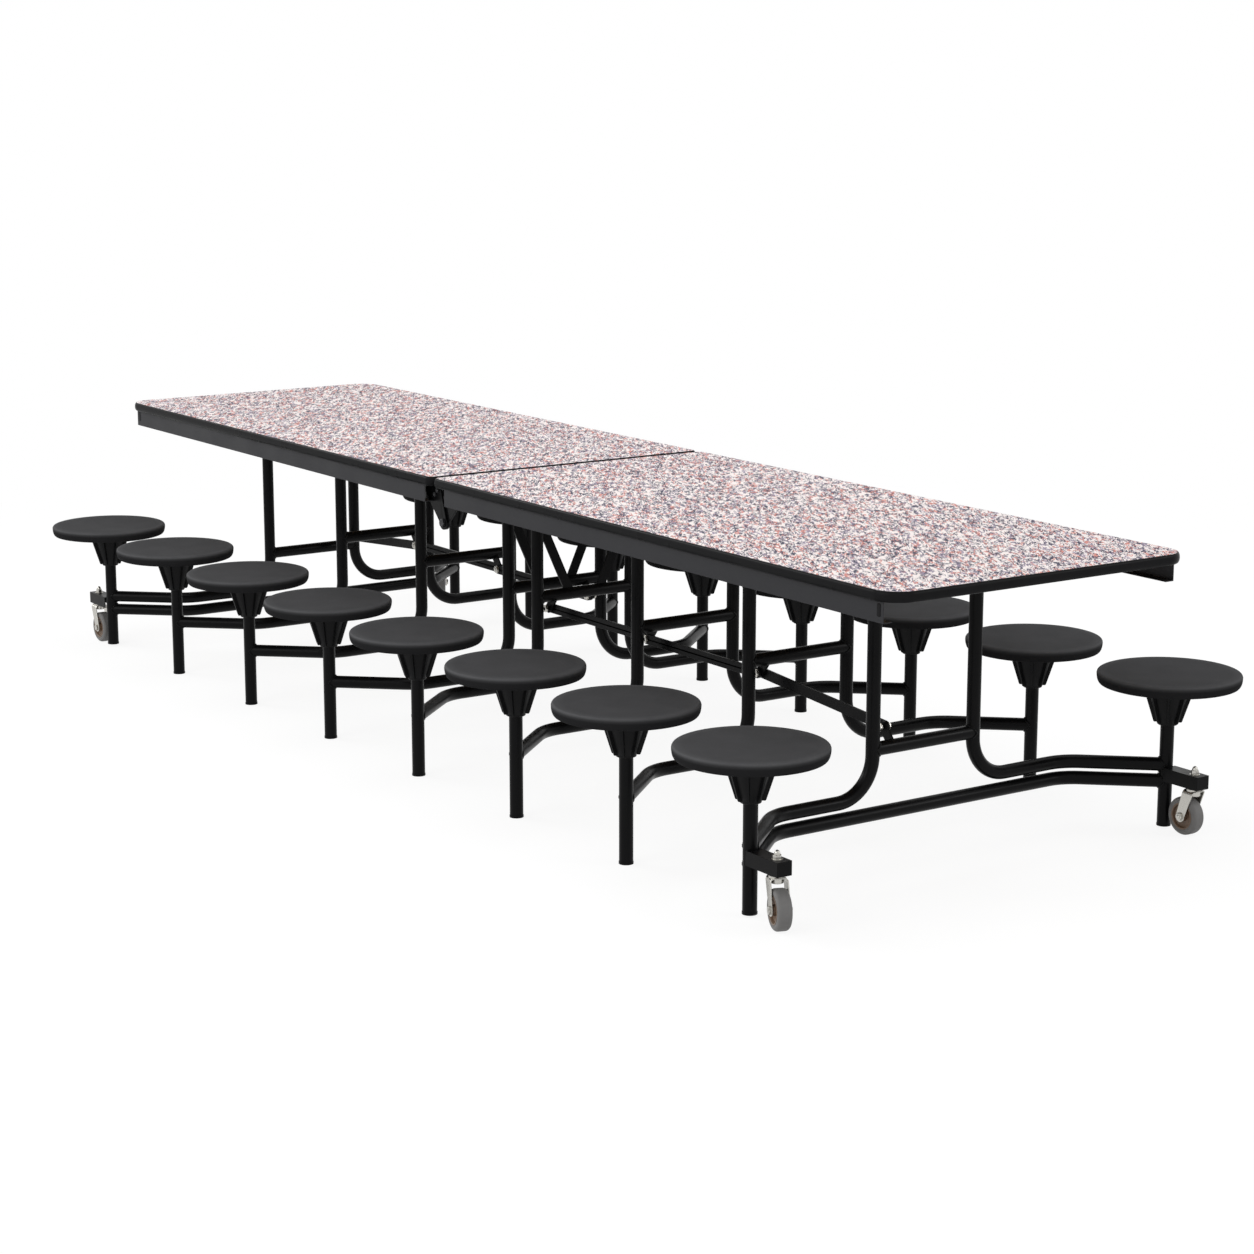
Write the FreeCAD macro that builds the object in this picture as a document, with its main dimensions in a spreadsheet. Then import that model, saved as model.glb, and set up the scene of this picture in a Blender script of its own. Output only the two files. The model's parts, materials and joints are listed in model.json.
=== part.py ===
import FreeCAD
import Part
import math
import os
import re
from FreeCAD import Placement, Rotation, Vector

# Folding mobile cafeteria table with sixteen fixed stools.
# The frame has its origin on the floor under the middle of the table: +X runs along the table, +Z is up.
# Both halves are the same assembly, turned half a turn about Z, so only the +X half is built from sizes.
# Each half has a top and four leg frames, numbered from 1 at the centre to 4 at the end.
# Folding lifts the centre: the tops turn up, the leg frames stay upright and the end frames roll together.

DIMENSIONS = [
    ("table_length", 3658, "both tops, end to end"),
    ("top_width", 838, "across both edge bands"),
    ("table_height", 699, "floor to the laminate"),
    ("centre_gap", 12, "between the two tops"),
    ("laminate_thick", 1.2, "decorative sheet"),
    ("board_thick", 19, "particle board core"),
    ("band_thick", 6, "edge band, outwards from the board"),
    ("band_height", 24, "edge band, top to bottom"),
    ("band_round", 5, "rounding of the edge band"),
    ("corner_end", 65, "corner radius at the table's end"),
    ("corner_centre", 20, "corner radius beside the centre gap"),
    ("apron_height", 49, "side channel, top to bottom"),
    ("apron_flange", 24, "side channel, across"),
    ("apron_wall", 2, "side channel sheet"),
    ("apron_inset", 12, "table edge to side channel"),
    ("apron_end_gap", 42, "table end to the channel's end"),
    ("apron_centre_gap", 48, "table centre to the channel's end"),
    ("frame_pitch", 457.2, "leg frame to leg frame, and stool to stool"),
    ("stool_offset", 158, "stool post beyond its leg frame"),
    ("leg_spread", 145, "table centre line to a leg"),
    ("post_spread", 596, "table centre line to a stool post"),
    ("tube_diameter", 31.8, "legs, arms, bars and posts, outside"),
    ("tube_wall", 1.9, "legs, arms, bars and posts"),
    ("arm_height", 150, "floor to the arm's centre line"),
    ("tie_height", 111, "floor to the end tie's centre line"),
    ("leg_bend", 95, "bend of the leg into the arm"),
    ("knee_spread", 419, "table centre line to where an arm turns towards its stool"),
    ("knee_bend", 110, "bend of the arm towards the stool"),
    ("weld_overlap", 5, "from a coped tube's end to the axis that it meets"),
    ("bar_height", 372, "floor to the crossbar of frames 1 to 3"),
    ("end_bar_height", 258, "floor to the crossbar of frame 4"),
    ("pivot_depth", 20, "board to the leg pivot of frames 1 to 3"),
    ("end_drop", 36, "how much lower frame 4 and its link pivot"),
    ("leg_tip", 10, "leg above its pivot"),
    ("pin_diameter", 10, "pivot pins and link bolts"),
    ("pin_clearance", 0.06, "round a pin, on the radius"),
    ("pin_head", 16, "head and nut of a pin, across"),
    ("pin_head_thick", 5, "head and nut of a pin"),
    ("lug_thick", 4, "pivot lugs beside each leg"),
    ("lug_radius", 16, "pivot lugs round the pin"),
    ("lug_gap", 0.6, "between a lug and the leg"),
    ("rail_width", 20, "pivot rail, along the table"),
    ("rail_height", 38, "pivot rail, top to bottom"),
    ("rail_wall", 2, "pivot rail sheet"),
    ("rail_back", 20, "pivot to its rail"),
    ("link_back", 31, "leg frame to its link bolt, towards the centre"),
    ("link_drop", 40, "crossbar to the link bolt of frames 1 to 3"),
    ("link_spread", 90, "table centre line to the link brackets"),
    ("link_width", 25, "link bar, top to bottom"),
    ("link_thick", 6, "link bar"),
    ("link_gap", 0.5, "between a link and its bracket"),
    ("bracket_thick", 5, "link bracket"),
    ("brace_width", 25, "brace of frame 1"),
    ("brace_thick", 6, "brace of frame 1"),
    ("brace_foot", 45, "table centre line to the brace's foot"),
    ("brace_top", 590, "floor to the brace's upper end"),
    ("seat_height", 368, "floor to the seat's top"),
    ("seat_diameter", 330, "stool seat"),
    ("seat_thick", 28, "stool seat"),
    ("seat_round", 11, "rounding of the seat's edge"),
    ("hub_top", 122, "seat hub under the seat, across"),
    ("hub_foot", 64, "seat hub at its lower end, across"),
    ("hub_height", 90, "seat hub cone"),
    ("hub_collar", 5, "seat hub's collar below the cone"),
    ("rib_depth", 8, "ribs of the seat hub"),
    ("rib_thick", 4, "ribs of the seat hub"),
    ("post_clearance", 0.2, "round a post in its hub or cap, on the radius"),
    ("cap_base", 5, "foot cap under the post"),
    ("cap_lip", 0.8, "foot cap proud of the post"),
    ("cap_plug", 14, "foot cap inside the post"),
    ("end_foot_gap", 5, "floor to the feet of frame 4, which stands on casters"),
    ("hinge_height", 580, "floor to the centre hinge"),
    ("hinge_radius", 18, "hinge plate round its bolt"),
    ("hinge_plate", 5, "hinge plate thickness"),
    ("hinge_gap", 0.6, "between two hinge plates"),
    ("hinge_start", 15.5, "table centre to the hinge plate's near end"),
    ("hinge_reach", 86, "table centre to the hinge plate's far end"),
    ("hinge_depth", 30, "hinge plate at its far end"),
    ("hinge_bolt", 12, "centre hinge bolt"),
    ("hinge_head", 18, "head and nut of a hinge bolt, across"),
    ("arm_start", 10, "post's axis to the caster arm's near end"),
    ("arm_length", 118, "post's axis to the caster arm's far end"),
    ("arm_fit", 0.1, "between the post and the caster arm beside it"),
    ("arm_depth", 32, "caster arm, top to bottom"),
    ("arm_wall", 3, "caster arm sheet"),
    ("arm_top", 146, "floor to the caster arm's top"),
    ("caster_reach", 92, "post's axis to the caster stem"),
    ("caster_trail", 22, "caster stem to the axle"),
    ("stem_diameter", 12, "caster stem"),
    ("nut_diameter", 20, "dome nut on the stem"),
    ("nut_height", 14, "dome nut on the stem"),
    ("nut_flat", 2, "flat on top of the dome nut, across"),
    ("swivel_gap", 0.5, "between the arm and what turns against it"),
    ("swivel_diameter", 24, "caster swivel head"),
    ("fork_crown", 5, "caster fork's top plate"),
    ("fork_top", 110, "floor to the caster fork's top plate"),
    ("fork_wall", 3, "caster fork sheet"),
    ("fork_gap", 1.5, "between the fork and the wheel"),
    ("fork_shoulder", 30, "caster fork's cheek along its top"),
    ("fork_foot", 13, "caster fork round the axle, radius"),
    ("axle_diameter", 10, "caster axle"),
    ("wheel_diameter", 89, "caster tyre"),
    ("wheel_width", 32, "caster tyre"),
    ("tyre_round", 8, "rounding of the tyre"),
    ("core_diameter", 62, "caster wheel core"),
]

FRAMES = (1, 2, 3, 4)
END_FRAME = 4
SIDES = {"front": -1, "rear": 1}
# Which way each caster trails at rest, in degrees from +X.
CASTER_TRAILS = {"right_front": -20, "right_rear": 180, "left_front": 0, "left_rear": 150}
# The caster's pieces in each of its nodes.
CASTER_NODES = {"fork": ("fork", "axle", "nut"), "tyre": ("tyre",), "core": ("core",)}
RIB_COUNT = 8

doc = FreeCAD.newDocument("cafeteria_table")
sheet = doc.addObject("Spreadsheet::Sheet", "Dimensions")
for row, (alias, number, meaning) in enumerate(DIMENSIONS, start=1):
    sheet.set(f"A{row}", meaning)
    sheet.set(f"B{row}", str(number))
    sheet.setAlias(f"B{row}", alias)
doc.recompute()

ALIASES = {alias for alias, number, meaning in DIMENSIONS}
HALF_TURN = Rotation(Vector(0, 0, 1), 180)
ALONG_Y = Rotation(Vector(1, 0, 0), -90)

# Places that follow from the driving dimensions, as formulas in the sheet's aliases.
UNDERSIDE = "(table_height - laminate_thick - board_thick)"
FLANGE_TIP = "(top_width / 2 - apron_inset - apron_flange)"
TUBE = "(tube_diameter / 2)"
BORE = "(tube_diameter / 2 - tube_wall)"
SEAT_UNDERSIDE = "(seat_height - seat_thick)"
LINK_BOLT = "(bar_height - link_drop)"
LUG_INNER = f"({TUBE} + lug_gap)"
PIN_HALF = f"({LUG_INNER} + lug_thick)"
PIN_HOLE = "(pin_diameter / 2 + pin_clearance)"
HINGE_STEP = "((hinge_plate + hinge_gap) / 2)"
HINGE_SPREAD = f"({FLANGE_TIP} - {HINGE_STEP} - hinge_plate / 2)"
LINK_STEP = "(bracket_thick / 2 + link_gap + link_thick / 2)"


def bound(formula):
    """The formula with each alias written as a reference to its cell."""
    return re.sub(r"[a-z_]\w*", lambda m: "Dimensions." + m[0] if m[0] in ALIASES else m[0], formula)


def size(formula):
    """The formula's value in millimetres."""
    return float(sheet.evalExpression(bound(formula)))


def bind(thing, **formulas):
    """Ties properties of an object to formulas in the sheet."""
    for name, formula in formulas.items():
        thing.setExpression(name, bound(formula))


def put(thing, at, turn=None):
    """Places an object at three formulas, turned if asked."""
    if turn is not None:
        thing.Placement = Placement(Vector(), turn)
    for axis, formula in zip("xyz", at):
        thing.setExpression(f".Placement.Base.{axis}", bound(formula))
    return thing


def box(name, lengths, corner):
    """A block with its lengths and lowest corner as formulas."""
    solid = doc.addObject("Part::Box", name)
    bind(solid, Length=lengths[0], Width=lengths[1], Height=lengths[2])
    return put(solid, corner)


def rod(name, radius, height, base, turn=None):
    """A cylinder up from its base, or along its turned axis."""
    solid = doc.addObject("Part::Cylinder", name)
    bind(solid, Radius=radius, Height=height)
    return put(solid, base, turn)


def rod_y(name, radius, x, low_y, length, z):
    """A cylinder along +Y from low_y."""
    return rod(name, radius, length, (x, low_y, z), ALONG_Y)


def cut(name, base, tool):
    """The base with the tool's volume taken out."""
    solid = doc.addObject("Part::Cut", name)
    solid.Base = base
    solid.Tool = tool
    return solid


def fuse(name, pieces):
    """One solid of several that meet."""
    solid = doc.addObject("Part::MultiFuse", name)
    solid.Shapes = pieces
    return solid


def common(name, base, tool):
    """What two solids share."""
    solid = doc.addObject("Part::Common", name)
    solid.Base = base
    solid.Tool = tool
    return solid


def fillet(name, base, choose):
    """The base with edges rounded: choose gives an edge's radius, or None to leave it sharp."""
    doc.recompute()
    solid = doc.addObject("Part::Fillet", name)
    solid.Base = base
    radii = [(number, choose(edge)) for number, edge in enumerate(base.Shape.Edges, start=1)]
    solid.Edges = [(number, radius, radius) for number, radius in radii if radius]
    return solid


def flat_radius(edge, formula):
    """The formula's value on an edge that lies level, and None on others."""
    return size(formula) if edge.BoundBox.ZLength < 1 else None


def group(label, pieces):
    """A sub-part of several separate solids."""
    node = doc.addObject("Part::Compound", label)
    node.Links = pieces
    return node


def copy_of(name, master, at=("0", "0", "0"), turn=None):
    """A linked copy of a master solid, moved from where the master stands."""
    link = doc.addObject("App::Link", name)
    link.LinkedObject = master
    link.LinkTransform = True
    return put(link, at, turn)


def solid_of(name, shape):
    """An object that holds a shape made here from sizes in the sheet."""
    thing = doc.addObject("Part::Feature", name)
    thing.Shape = shape
    return thing


def bent_path(points, radii):
    """A wire through the points, with each inner corner rounded to its radius."""
    edges = []
    start = points[0]
    for corner, following, radius in zip(points[1:-1], points[2:], radii):
        into = (corner - start).normalize()
        out = (following - corner).normalize()
        turn = into.getAngle(out)
        reach = radius * math.tan(turn / 2)
        first = corner - into * reach
        last = corner + out * reach
        inward = (out - into).normalize()
        middle = corner + inward * (radius / math.cos(turn / 2) - radius)
        edges.append(Part.LineSegment(start, first).toShape())
        edges.append(Part.Arc(first, middle, last).toShape())
        start = last
    edges.append(Part.LineSegment(start, points[-1]).toShape())
    return Part.Wire(edges)


def bent_tube(name, points, radii):
    """A tube of the table's tubing swept along a bent path."""
    path = solid_of(name + "_path", bent_path(points, radii))
    along = Rotation(Vector(0, 0, 1), points[1] - points[0])
    layers = []
    for layer, radius in (("skin", TUBE), ("hollow", BORE)):
        ring = doc.addObject("Part::Circle", f"{name}_{layer}_ring")
        bind(ring, Radius=radius)
        ring.Placement = Placement(points[0], along)
        sweep = doc.addObject("Part::Sweep", f"{name}_{layer}")
        sweep.Sections = [ring]
        sweep.Spine = (path, [f"Edge{n}" for n in range(1, len(path.Shape.Edges) + 1)])
        sweep.Solid = True
        sweep.Frenet = False
        layers.append(sweep)
    return cut(name, *layers)


def frame_x(frame):
    """Formula for a leg frame's place along the table."""
    return f"(({frame} - 0.5) * frame_pitch - stool_offset)"


def stool_x(frame):
    """Formula for a stool's place along the table."""
    return f"(({frame} - 0.5) * frame_pitch)"


def pivot_z(frame):
    """Formula for the height of a frame's pivot on the top."""
    drop = " - end_drop" if frame == END_FRAME else ""
    return f"({UNDERSIDE} - pivot_depth{drop})"


def bar_z(frame):
    """Formula for the height of a frame's crossbar."""
    return "end_bar_height" if frame == END_FRAME else "bar_height"


def bolt_x(frame):
    """Formula for a link bolt's place along the table."""
    return f"({frame_x(frame)} - link_back)"


def bolt_z(frame):
    """Formula for a link bolt's height: as far below the pivot on every frame."""
    return f"({LINK_BOLT} - end_drop)" if frame == END_FRAME else LINK_BOLT


def slab(name, inset, thick, low_z):
    """A top's outline, moved in by inset, with larger corners at the table's end."""
    lengths = (f"table_length / 2 - centre_gap / 2 - 2 * {inset}", f"top_width - 2 * {inset}", thick)
    block = box(name + "_block", lengths, (f"centre_gap / 2 + {inset}", f"-top_width / 2 + {inset}", low_z))
    middle = size("table_length / 4")
    end_radius = size(f"corner_end - {inset}")
    centre_radius = size(f"corner_centre - {inset}")

    def corner(edge):
        """Upright edges get the corner radius of their end."""
        low, high = edge.BoundBox.ZMin, edge.BoundBox.ZMax
        upright = high - low > edge.Length / 2
        radius = end_radius if edge.CenterOfMass.x > middle else centre_radius
        return radius if upright else None

    return fillet(name, block, corner)


def tops():
    """The board with its laminate and the edge band round both."""
    band_z = "table_height - band_height"
    outer = slab("band_outline", "0", "band_height", band_z)
    softened = fillet("band_rounded", outer, lambda edge: flat_radius(edge, "band_round"))
    inside = slab("band_hole", "band_thick", "band_height", band_z)
    return {
        "edge_band": cut("right_edge_band", softened, inside),
        "laminate": slab("right_laminate", "band_thick", "laminate_thick", "table_height - laminate_thick"),
        "board": slab("right_board", "band_thick", "board_thick", UNDERSIDE),
    }


def aprons():
    """A steel channel along each side, open towards the middle of the table."""
    length = "table_length / 2 - apron_end_gap - apron_centre_gap"
    low_z = f"{UNDERSIDE} - apron_height"
    channels = []
    for side, sign in SIDES.items():
        outer_y = FLANGE_TIP if sign > 0 else f"-{FLANGE_TIP} - apron_flange"
        hollow_y = FLANGE_TIP if sign > 0 else f"-{FLANGE_TIP} - apron_flange + apron_wall"
        lengths = (length, "apron_flange", "apron_height")
        bar = box(f"apron_bar_{side}", lengths, ("apron_centre_gap", outer_y, low_z))
        hollow_lengths = (length, "apron_flange - apron_wall", "apron_height - 2 * apron_wall")
        hollow_corner = ("apron_centre_gap", hollow_y, f"{low_z} + apron_wall")
        hollow = box(f"apron_hollow_{side}", hollow_lengths, hollow_corner)
        channels.append(cut(f"apron_{side}", bar, hollow))
    return group("right_aprons", channels)


def pivot_rail(frame):
    """A square tube across the top with a pair of lugs for each leg of a frame."""
    x = frame_x(frame)
    z = pivot_z(frame)
    name = f"rail_{frame}"
    low_y = f"-{FLANGE_TIP}"
    high_y = FLANGE_TIP
    if frame == 1:
        low_y = f"-({HINGE_SPREAD} - {HINGE_STEP} - hinge_plate / 2)"
        high_y = f"({HINGE_SPREAD} + {HINGE_STEP} - hinge_plate / 2)"
    rail_x = f"{x} - rail_back - rail_width"
    rail_z = f"{UNDERSIDE} - rail_height"
    bar = box(f"{name}_bar", ("rail_width", f"{high_y} - {low_y}", "rail_height"), (rail_x, low_y, rail_z))
    hollow_lengths = ("rail_width - 2 * rail_wall", f"{high_y} - {low_y}", "rail_height - 2 * rail_wall")
    hollow_corner = (f"{rail_x} + rail_wall", low_y, f"{rail_z} + rail_wall")
    pieces = [cut(f"{name}_tube", bar, box(f"{name}_hollow", hollow_lengths, hollow_corner))]
    for side, sign in SIDES.items():
        for face, low in (("in", f"-{PIN_HALF}"), ("out", LUG_INNER)):
            lug_y = f"{sign} * leg_spread + {low}"
            lug = f"{name}_lug_{side}_{face}"
            upper_lengths = ("rail_back + lug_radius", "lug_thick", f"{UNDERSIDE} - {z}")
            upper = box(f"{lug}_upper", upper_lengths, (f"{x} - rail_back", lug_y, z))
            lower_lengths = ("rail_back", "lug_thick", "lug_radius")
            lower = box(f"{lug}_lower", lower_lengths, (f"{x} - rail_back", lug_y, f"{z} - lug_radius"))
            nose = rod_y(f"{lug}_nose", "lug_radius", x, lug_y, "lug_thick", z)
            hole = rod_y(f"{lug}_hole", PIN_HOLE, x, lug_y, "lug_thick", z)
            pieces.append(cut(lug, fuse(f"{lug}_plate", [upper, lower, nose]), hole))
    return fuse(name, pieces)


def headed_pin(name, radius, x, middle_y, half, z, head="pin_head / 2"):
    """A pin along Y with a head and a nut outside its grip."""
    shank = rod_y(f"{name}_shank", radius, x, f"{middle_y} - {half}", f"2 * {half}", z)
    low = rod_y(f"{name}_head", head, x, f"{middle_y} - {half} - pin_head_thick", "pin_head_thick", z)
    high = rod_y(f"{name}_nut", head, x, f"{middle_y} + {half}", "pin_head_thick", z)
    return fuse(name, [shank, low, high])


def pivot_pins():
    """One pin through each leg's top end and its two lugs."""
    pins = []
    for frame in FRAMES:
        for side, sign in SIDES.items():
            name = f"pivot_pin_{frame}_{side}"
            x, y, z = frame_x(frame), f"{sign} * leg_spread", pivot_z(frame)
            pins.append(headed_pin(name, "pin_diameter / 2", x, y, PIN_HALF, z))
    return group("right_pivot_pins", pins)


def leg(frame, side, sign):
    """A leg that bends out into an arm, then turns towards its stool post."""
    x, y = size(frame_x(frame)), sign * size("leg_spread")
    level, knee = size("arm_height"), sign * size("knee_spread")
    post = Vector(size(stool_x(frame)), sign * size("post_spread"), level)
    corner = Vector(x, knee, level)
    end = post - (post - corner).normalize() * size("weld_overlap")
    top = Vector(x, y, size(f"{pivot_z(frame)} + leg_tip"))
    points = [top, Vector(x, y, level), corner, end]
    name = f"leg_{frame}_{side}"
    tube = bent_tube(f"{name}_tube", points, [size("leg_bend"), size("knee_bend")])
    coped = cut(f"{name}_coped", tube, post_core(frame, side, sign))
    reach = f"{sign} * leg_spread - {TUBE}"
    hole = rod_y(f"{name}_hole", PIN_HOLE, frame_x(frame), reach, "tube_diameter", pivot_z(frame))
    return cut(name, coped, hole)


post_cores = {}


def post_core(frame, side, sign):
    """The full round of a stool post, which copes the tubes that meet it."""
    key = (frame, side)
    if key not in post_cores:
        base = (stool_x(frame), f"{sign} * post_spread", "0")
        post_cores[key] = rod(f"post_core_{frame}_{side}", TUBE, SEAT_UNDERSIDE, base)
    return post_cores[key]


def tie_tube():
    """The low tube of the end frame, from one stool post to the other under both arms."""
    x, level = size(frame_x(END_FRAME)), size("tie_height")
    points = []
    for sign in SIDES.values():
        post = Vector(size(stool_x(END_FRAME)), sign * size("post_spread"), level)
        corner = Vector(x, sign * size("knee_spread"), level)
        end = post - (post - corner).normalize() * size("weld_overlap")
        points += [end, corner] if sign < 0 else [corner, end]
    tube = bent_tube("tie_tube", points, [size("knee_bend")] * 2)
    for side, sign in SIDES.items():
        tube = cut(f"tie_coped_{side}", tube, post_core(END_FRAME, side, sign))
    return tube


def crossbar(frame):
    """A tube between the two legs, coped to them."""
    x, z = frame_x(frame), bar_z(frame)
    low_y = "-leg_spread + weld_overlap"
    length = "2 * (leg_spread - weld_overlap)"
    skin = rod_y(f"crossbar_skin_{frame}", TUBE, x, low_y, length, z)
    hollow = rod_y(f"crossbar_hollow_{frame}", BORE, x, low_y, length, z)
    bar = cut(f"crossbar_tube_{frame}", skin, hollow)
    for side, sign in SIDES.items():
        base = (x, f"{sign} * leg_spread", f"{z} - tube_diameter")
        core = rod(f"crossbar_leg_{frame}_{side}", TUBE, "2 * tube_diameter", base)
        bar = cut(f"crossbar_{frame}_{side}", bar, core)
    return bar


def slanted_bar(name, start, finish, width, thick, low_y):
    """A flat bar of one thickness along Y, between two points of the XZ plane, with square ends."""
    along = (finish - start).normalize()
    across = Vector(-along.z, 0, along.x) * (width / 2)
    corners = [start - across, finish - across, finish + across, start + across]
    face = Part.Face(Part.makePolygon(corners + corners[:1]))
    bar = solid_of(name, face.extrude(Vector(0, thick, 0)))
    bar.Placement = Placement(Vector(0, low_y, 0), Rotation())
    return bar


def link_bracket(frame):
    """A plate from the crossbar to the link bolt."""
    x, z = bolt_x(frame), bolt_z(frame)
    name = f"bracket_{frame}"
    low_y = "-link_spread - bracket_thick / 2"
    bolt = Vector(size(x), 0, size(z))
    bar = Vector(size(frame_x(frame)), 0, size(bar_z(frame)))
    plate = slanted_bar(f"{name}_plate", bolt, bar, size("link_width"), size("bracket_thick"), size(low_y))
    eye = rod_y(f"{name}_eye", "link_width / 2", x, low_y, "bracket_thick", z)
    body = fuse(f"{name}_body", [plate, eye])
    core = rod_y(f"{name}_bar", TUBE, frame_x(frame), low_y, "bracket_thick", bar_z(frame))
    hole = rod_y(f"{name}_hole", PIN_HOLE, x, low_y, "bracket_thick", z)
    return cut(name, cut(f"{name}_seated", body, core), hole)


def link_bolt(frame):
    """The bolt that holds the links to a bracket, long enough for one on each side."""
    half = "(bracket_thick / 2 + 2 * link_gap + link_thick)"
    name = f"link_bolt_{frame}"
    return headed_pin(name, "pin_diameter / 2", bolt_x(frame), "-link_spread", half, bolt_z(frame))


def braces():
    """Two flat bars of the innermost frame, from the crossbar up to the legs."""
    x = size(f"{frame_x(1)} - brace_thick / 2")
    bars = []
    for side, sign in SIDES.items():
        foot = Vector(0, sign * size("brace_foot"), size("bar_height"))
        top = Vector(0, sign * size("leg_spread"), size("brace_top"))
        along = (top - foot).normalize()
        across = Vector(0, -along.z, along.y) * size("brace_width / 2")
        corners = [foot - across, top - across, top + across, foot + across]
        face = Part.Face(Part.makePolygon(corners + corners[:1]))
        bar = solid_of(f"brace_bar_{side}", face.extrude(Vector(size("brace_thick"), 0, 0)))
        bar.Placement = Placement(Vector(x, 0, 0), Rotation())
        low_y = "-leg_spread"
        crossing = rod_y(f"brace_foot_{side}", TUBE, frame_x(1), low_y, "2 * leg_spread", "bar_height")
        upright = rod(f"brace_leg_{side}", TUBE, UNDERSIDE, (frame_x(1), f"{sign} * leg_spread", "0"))
        above = cut(f"brace_seated_{side}", bar, crossing)
        trimmed = cut(f"brace_trimmed_{side}", above, upright)
        room = box(f"brace_room_{side}", ("4 * brace_thick", "leg_spread", f"{UNDERSIDE} - bar_height"),
                   (f"{frame_x(1)} - 2 * brace_thick", "0" if sign > 0 else "-leg_spread", "bar_height"))
        bars.append(common(f"brace_{side}", trimmed, room))
    return bars


def legs(frame):
    """The welded leg frame: legs, crossbar, link bracket and bolt, with braces or a tie if it has them."""
    pieces = [leg(frame, side, sign) for side, sign in SIDES.items()]
    pieces += [crossbar(frame), link_bracket(frame), link_bolt(frame)]
    if frame == 1:
        pieces += braces()
    if frame == END_FRAME:
        pieces.append(tie_tube())
    return group(f"right_legs_{frame}", pieces)


def foot_cap():
    """A plastic cap with a plug that goes into the post."""
    base = rod("cap_disc", f"{TUBE} + cap_lip", "cap_base", ("0", "0", "0"))
    plug = rod("cap_stub", f"{BORE} - post_clearance", "cap_base + cap_plug", ("0", "0", "0"))
    return fuse("foot_cap", [base, plug])


def seat():
    """A round moulded seat with a rounded edge."""
    disc = rod("seat_disc", "seat_diameter / 2", "seat_thick", ("0", "0", SEAT_UNDERSIDE))
    return fillet("seat", disc, lambda edge: flat_radius(edge, "seat_round"))


def seat_hub():
    """A ribbed cone under the seat, with a collar and a socket for the post."""
    cone_z = f"({SEAT_UNDERSIDE} - hub_height)"
    cones = []
    for layer, depth in (("full", "0"), ("core", "rib_depth")):
        cone = doc.addObject("Part::Cone", f"hub_{layer}")
        bind(cone, Radius1=f"hub_foot / 2 - {depth}", Radius2=f"hub_top / 2 - {depth}", Height="hub_height")
        cones.append(put(cone, ("0", "0", cone_z)))
    blades = []
    for number in range(RIB_COUNT // 2):
        blade = box(f"hub_blade_{number}", ("hub_top", "rib_thick", "hub_height"), ("0", "0", cone_z))
        turn = Rotation(Vector(0, 0, 1), 360 * number / RIB_COUNT)
        offset = turn.multVec(Vector(-size("hub_top / 2"), -size("rib_thick / 2"), 0))
        blade.Placement = Placement(offset, turn)
        blade.setExpression(".Placement.Base.z", bound(cone_z))
        blades.append(blade)
    ribs = common("hub_ribs", cones[0], fuse("hub_blades", blades))
    collar = rod("hub_ring", "hub_foot / 2 - rib_depth", "hub_collar", ("0", "0", f"{cone_z} - hub_collar"))
    body = fuse("hub_body", [cones[1], ribs, collar])
    socket_z = f"{cone_z} - hub_collar"
    socket = rod("hub_socket", f"{TUBE} + post_clearance", "hub_height + hub_collar", ("0", "0", socket_z))
    return cut("seat_hub", body, socket)


def post(name, foot):
    """A stool post from its foot cap to the seat."""
    base = ("0", "0", f"{foot} + cap_base")
    height = f"{SEAT_UNDERSIDE} - {foot} - cap_base"
    return cut(name, rod(f"{name}_skin", TUBE, height, base), rod(f"{name}_hollow", BORE, height, base))


def stools(masters):
    """Posts with foot caps, and seats with hubs, on both sides of each frame."""
    nodes = {}
    for frame in FRAMES:
        at_end = frame == END_FRAME
        posts = []
        seats = []
        for side, sign in SIDES.items():
            at = (stool_x(frame), f"{sign} * post_spread", "0")
            cap_at = (at[0], at[1], "end_foot_gap" if at_end else "0")
            tag = f"{frame}_{side}"
            posts.append(copy_of(f"post_{tag}", masters["end_post" if at_end else "post"], at))
            posts.append(copy_of(f"cap_{tag}", masters["cap"], cap_at))
            seats.append(copy_of(f"seat_{tag}", masters["seat"], at))
            seats.append(copy_of(f"hub_{tag}", masters["hub"], at))
        nodes[f"posts_{frame}"] = group(f"right_posts_{frame}", posts)
        nodes[f"seats_{frame}"] = group(f"right_seats_{frame}", seats)
    return nodes


def link(inner):
    """A flat link bar between two neighbouring frames, beside their brackets in turn."""
    outer = inner + 1
    beside = 1 if inner % 2 else -1
    middle_y = f"-link_spread + {beside} * {LINK_STEP}"
    low_y = f"{middle_y} - link_thick / 2"
    name = f"right_link_{inner}{outer}"
    ends = [Vector(size(bolt_x(frame)), 0, size(bolt_z(frame))) for frame in (inner, outer)]
    bar = slanted_bar(f"{name}_bar", ends[0], ends[1], size("link_width"), size("link_thick"), size(low_y))
    eyes = []
    holes = []
    for frame in (inner, outer):
        x, z = bolt_x(frame), bolt_z(frame)
        eyes.append(rod_y(f"{name}_eye_{frame}", "link_width / 2", x, low_y, "link_thick", z))
        holes.append(rod_y(f"{name}_hole_{frame}", PIN_HOLE, x, low_y, "link_thick", z))
    return cut(name, fuse(f"{name}_body", [bar] + eyes), fuse(f"{name}_holes", holes))


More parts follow.
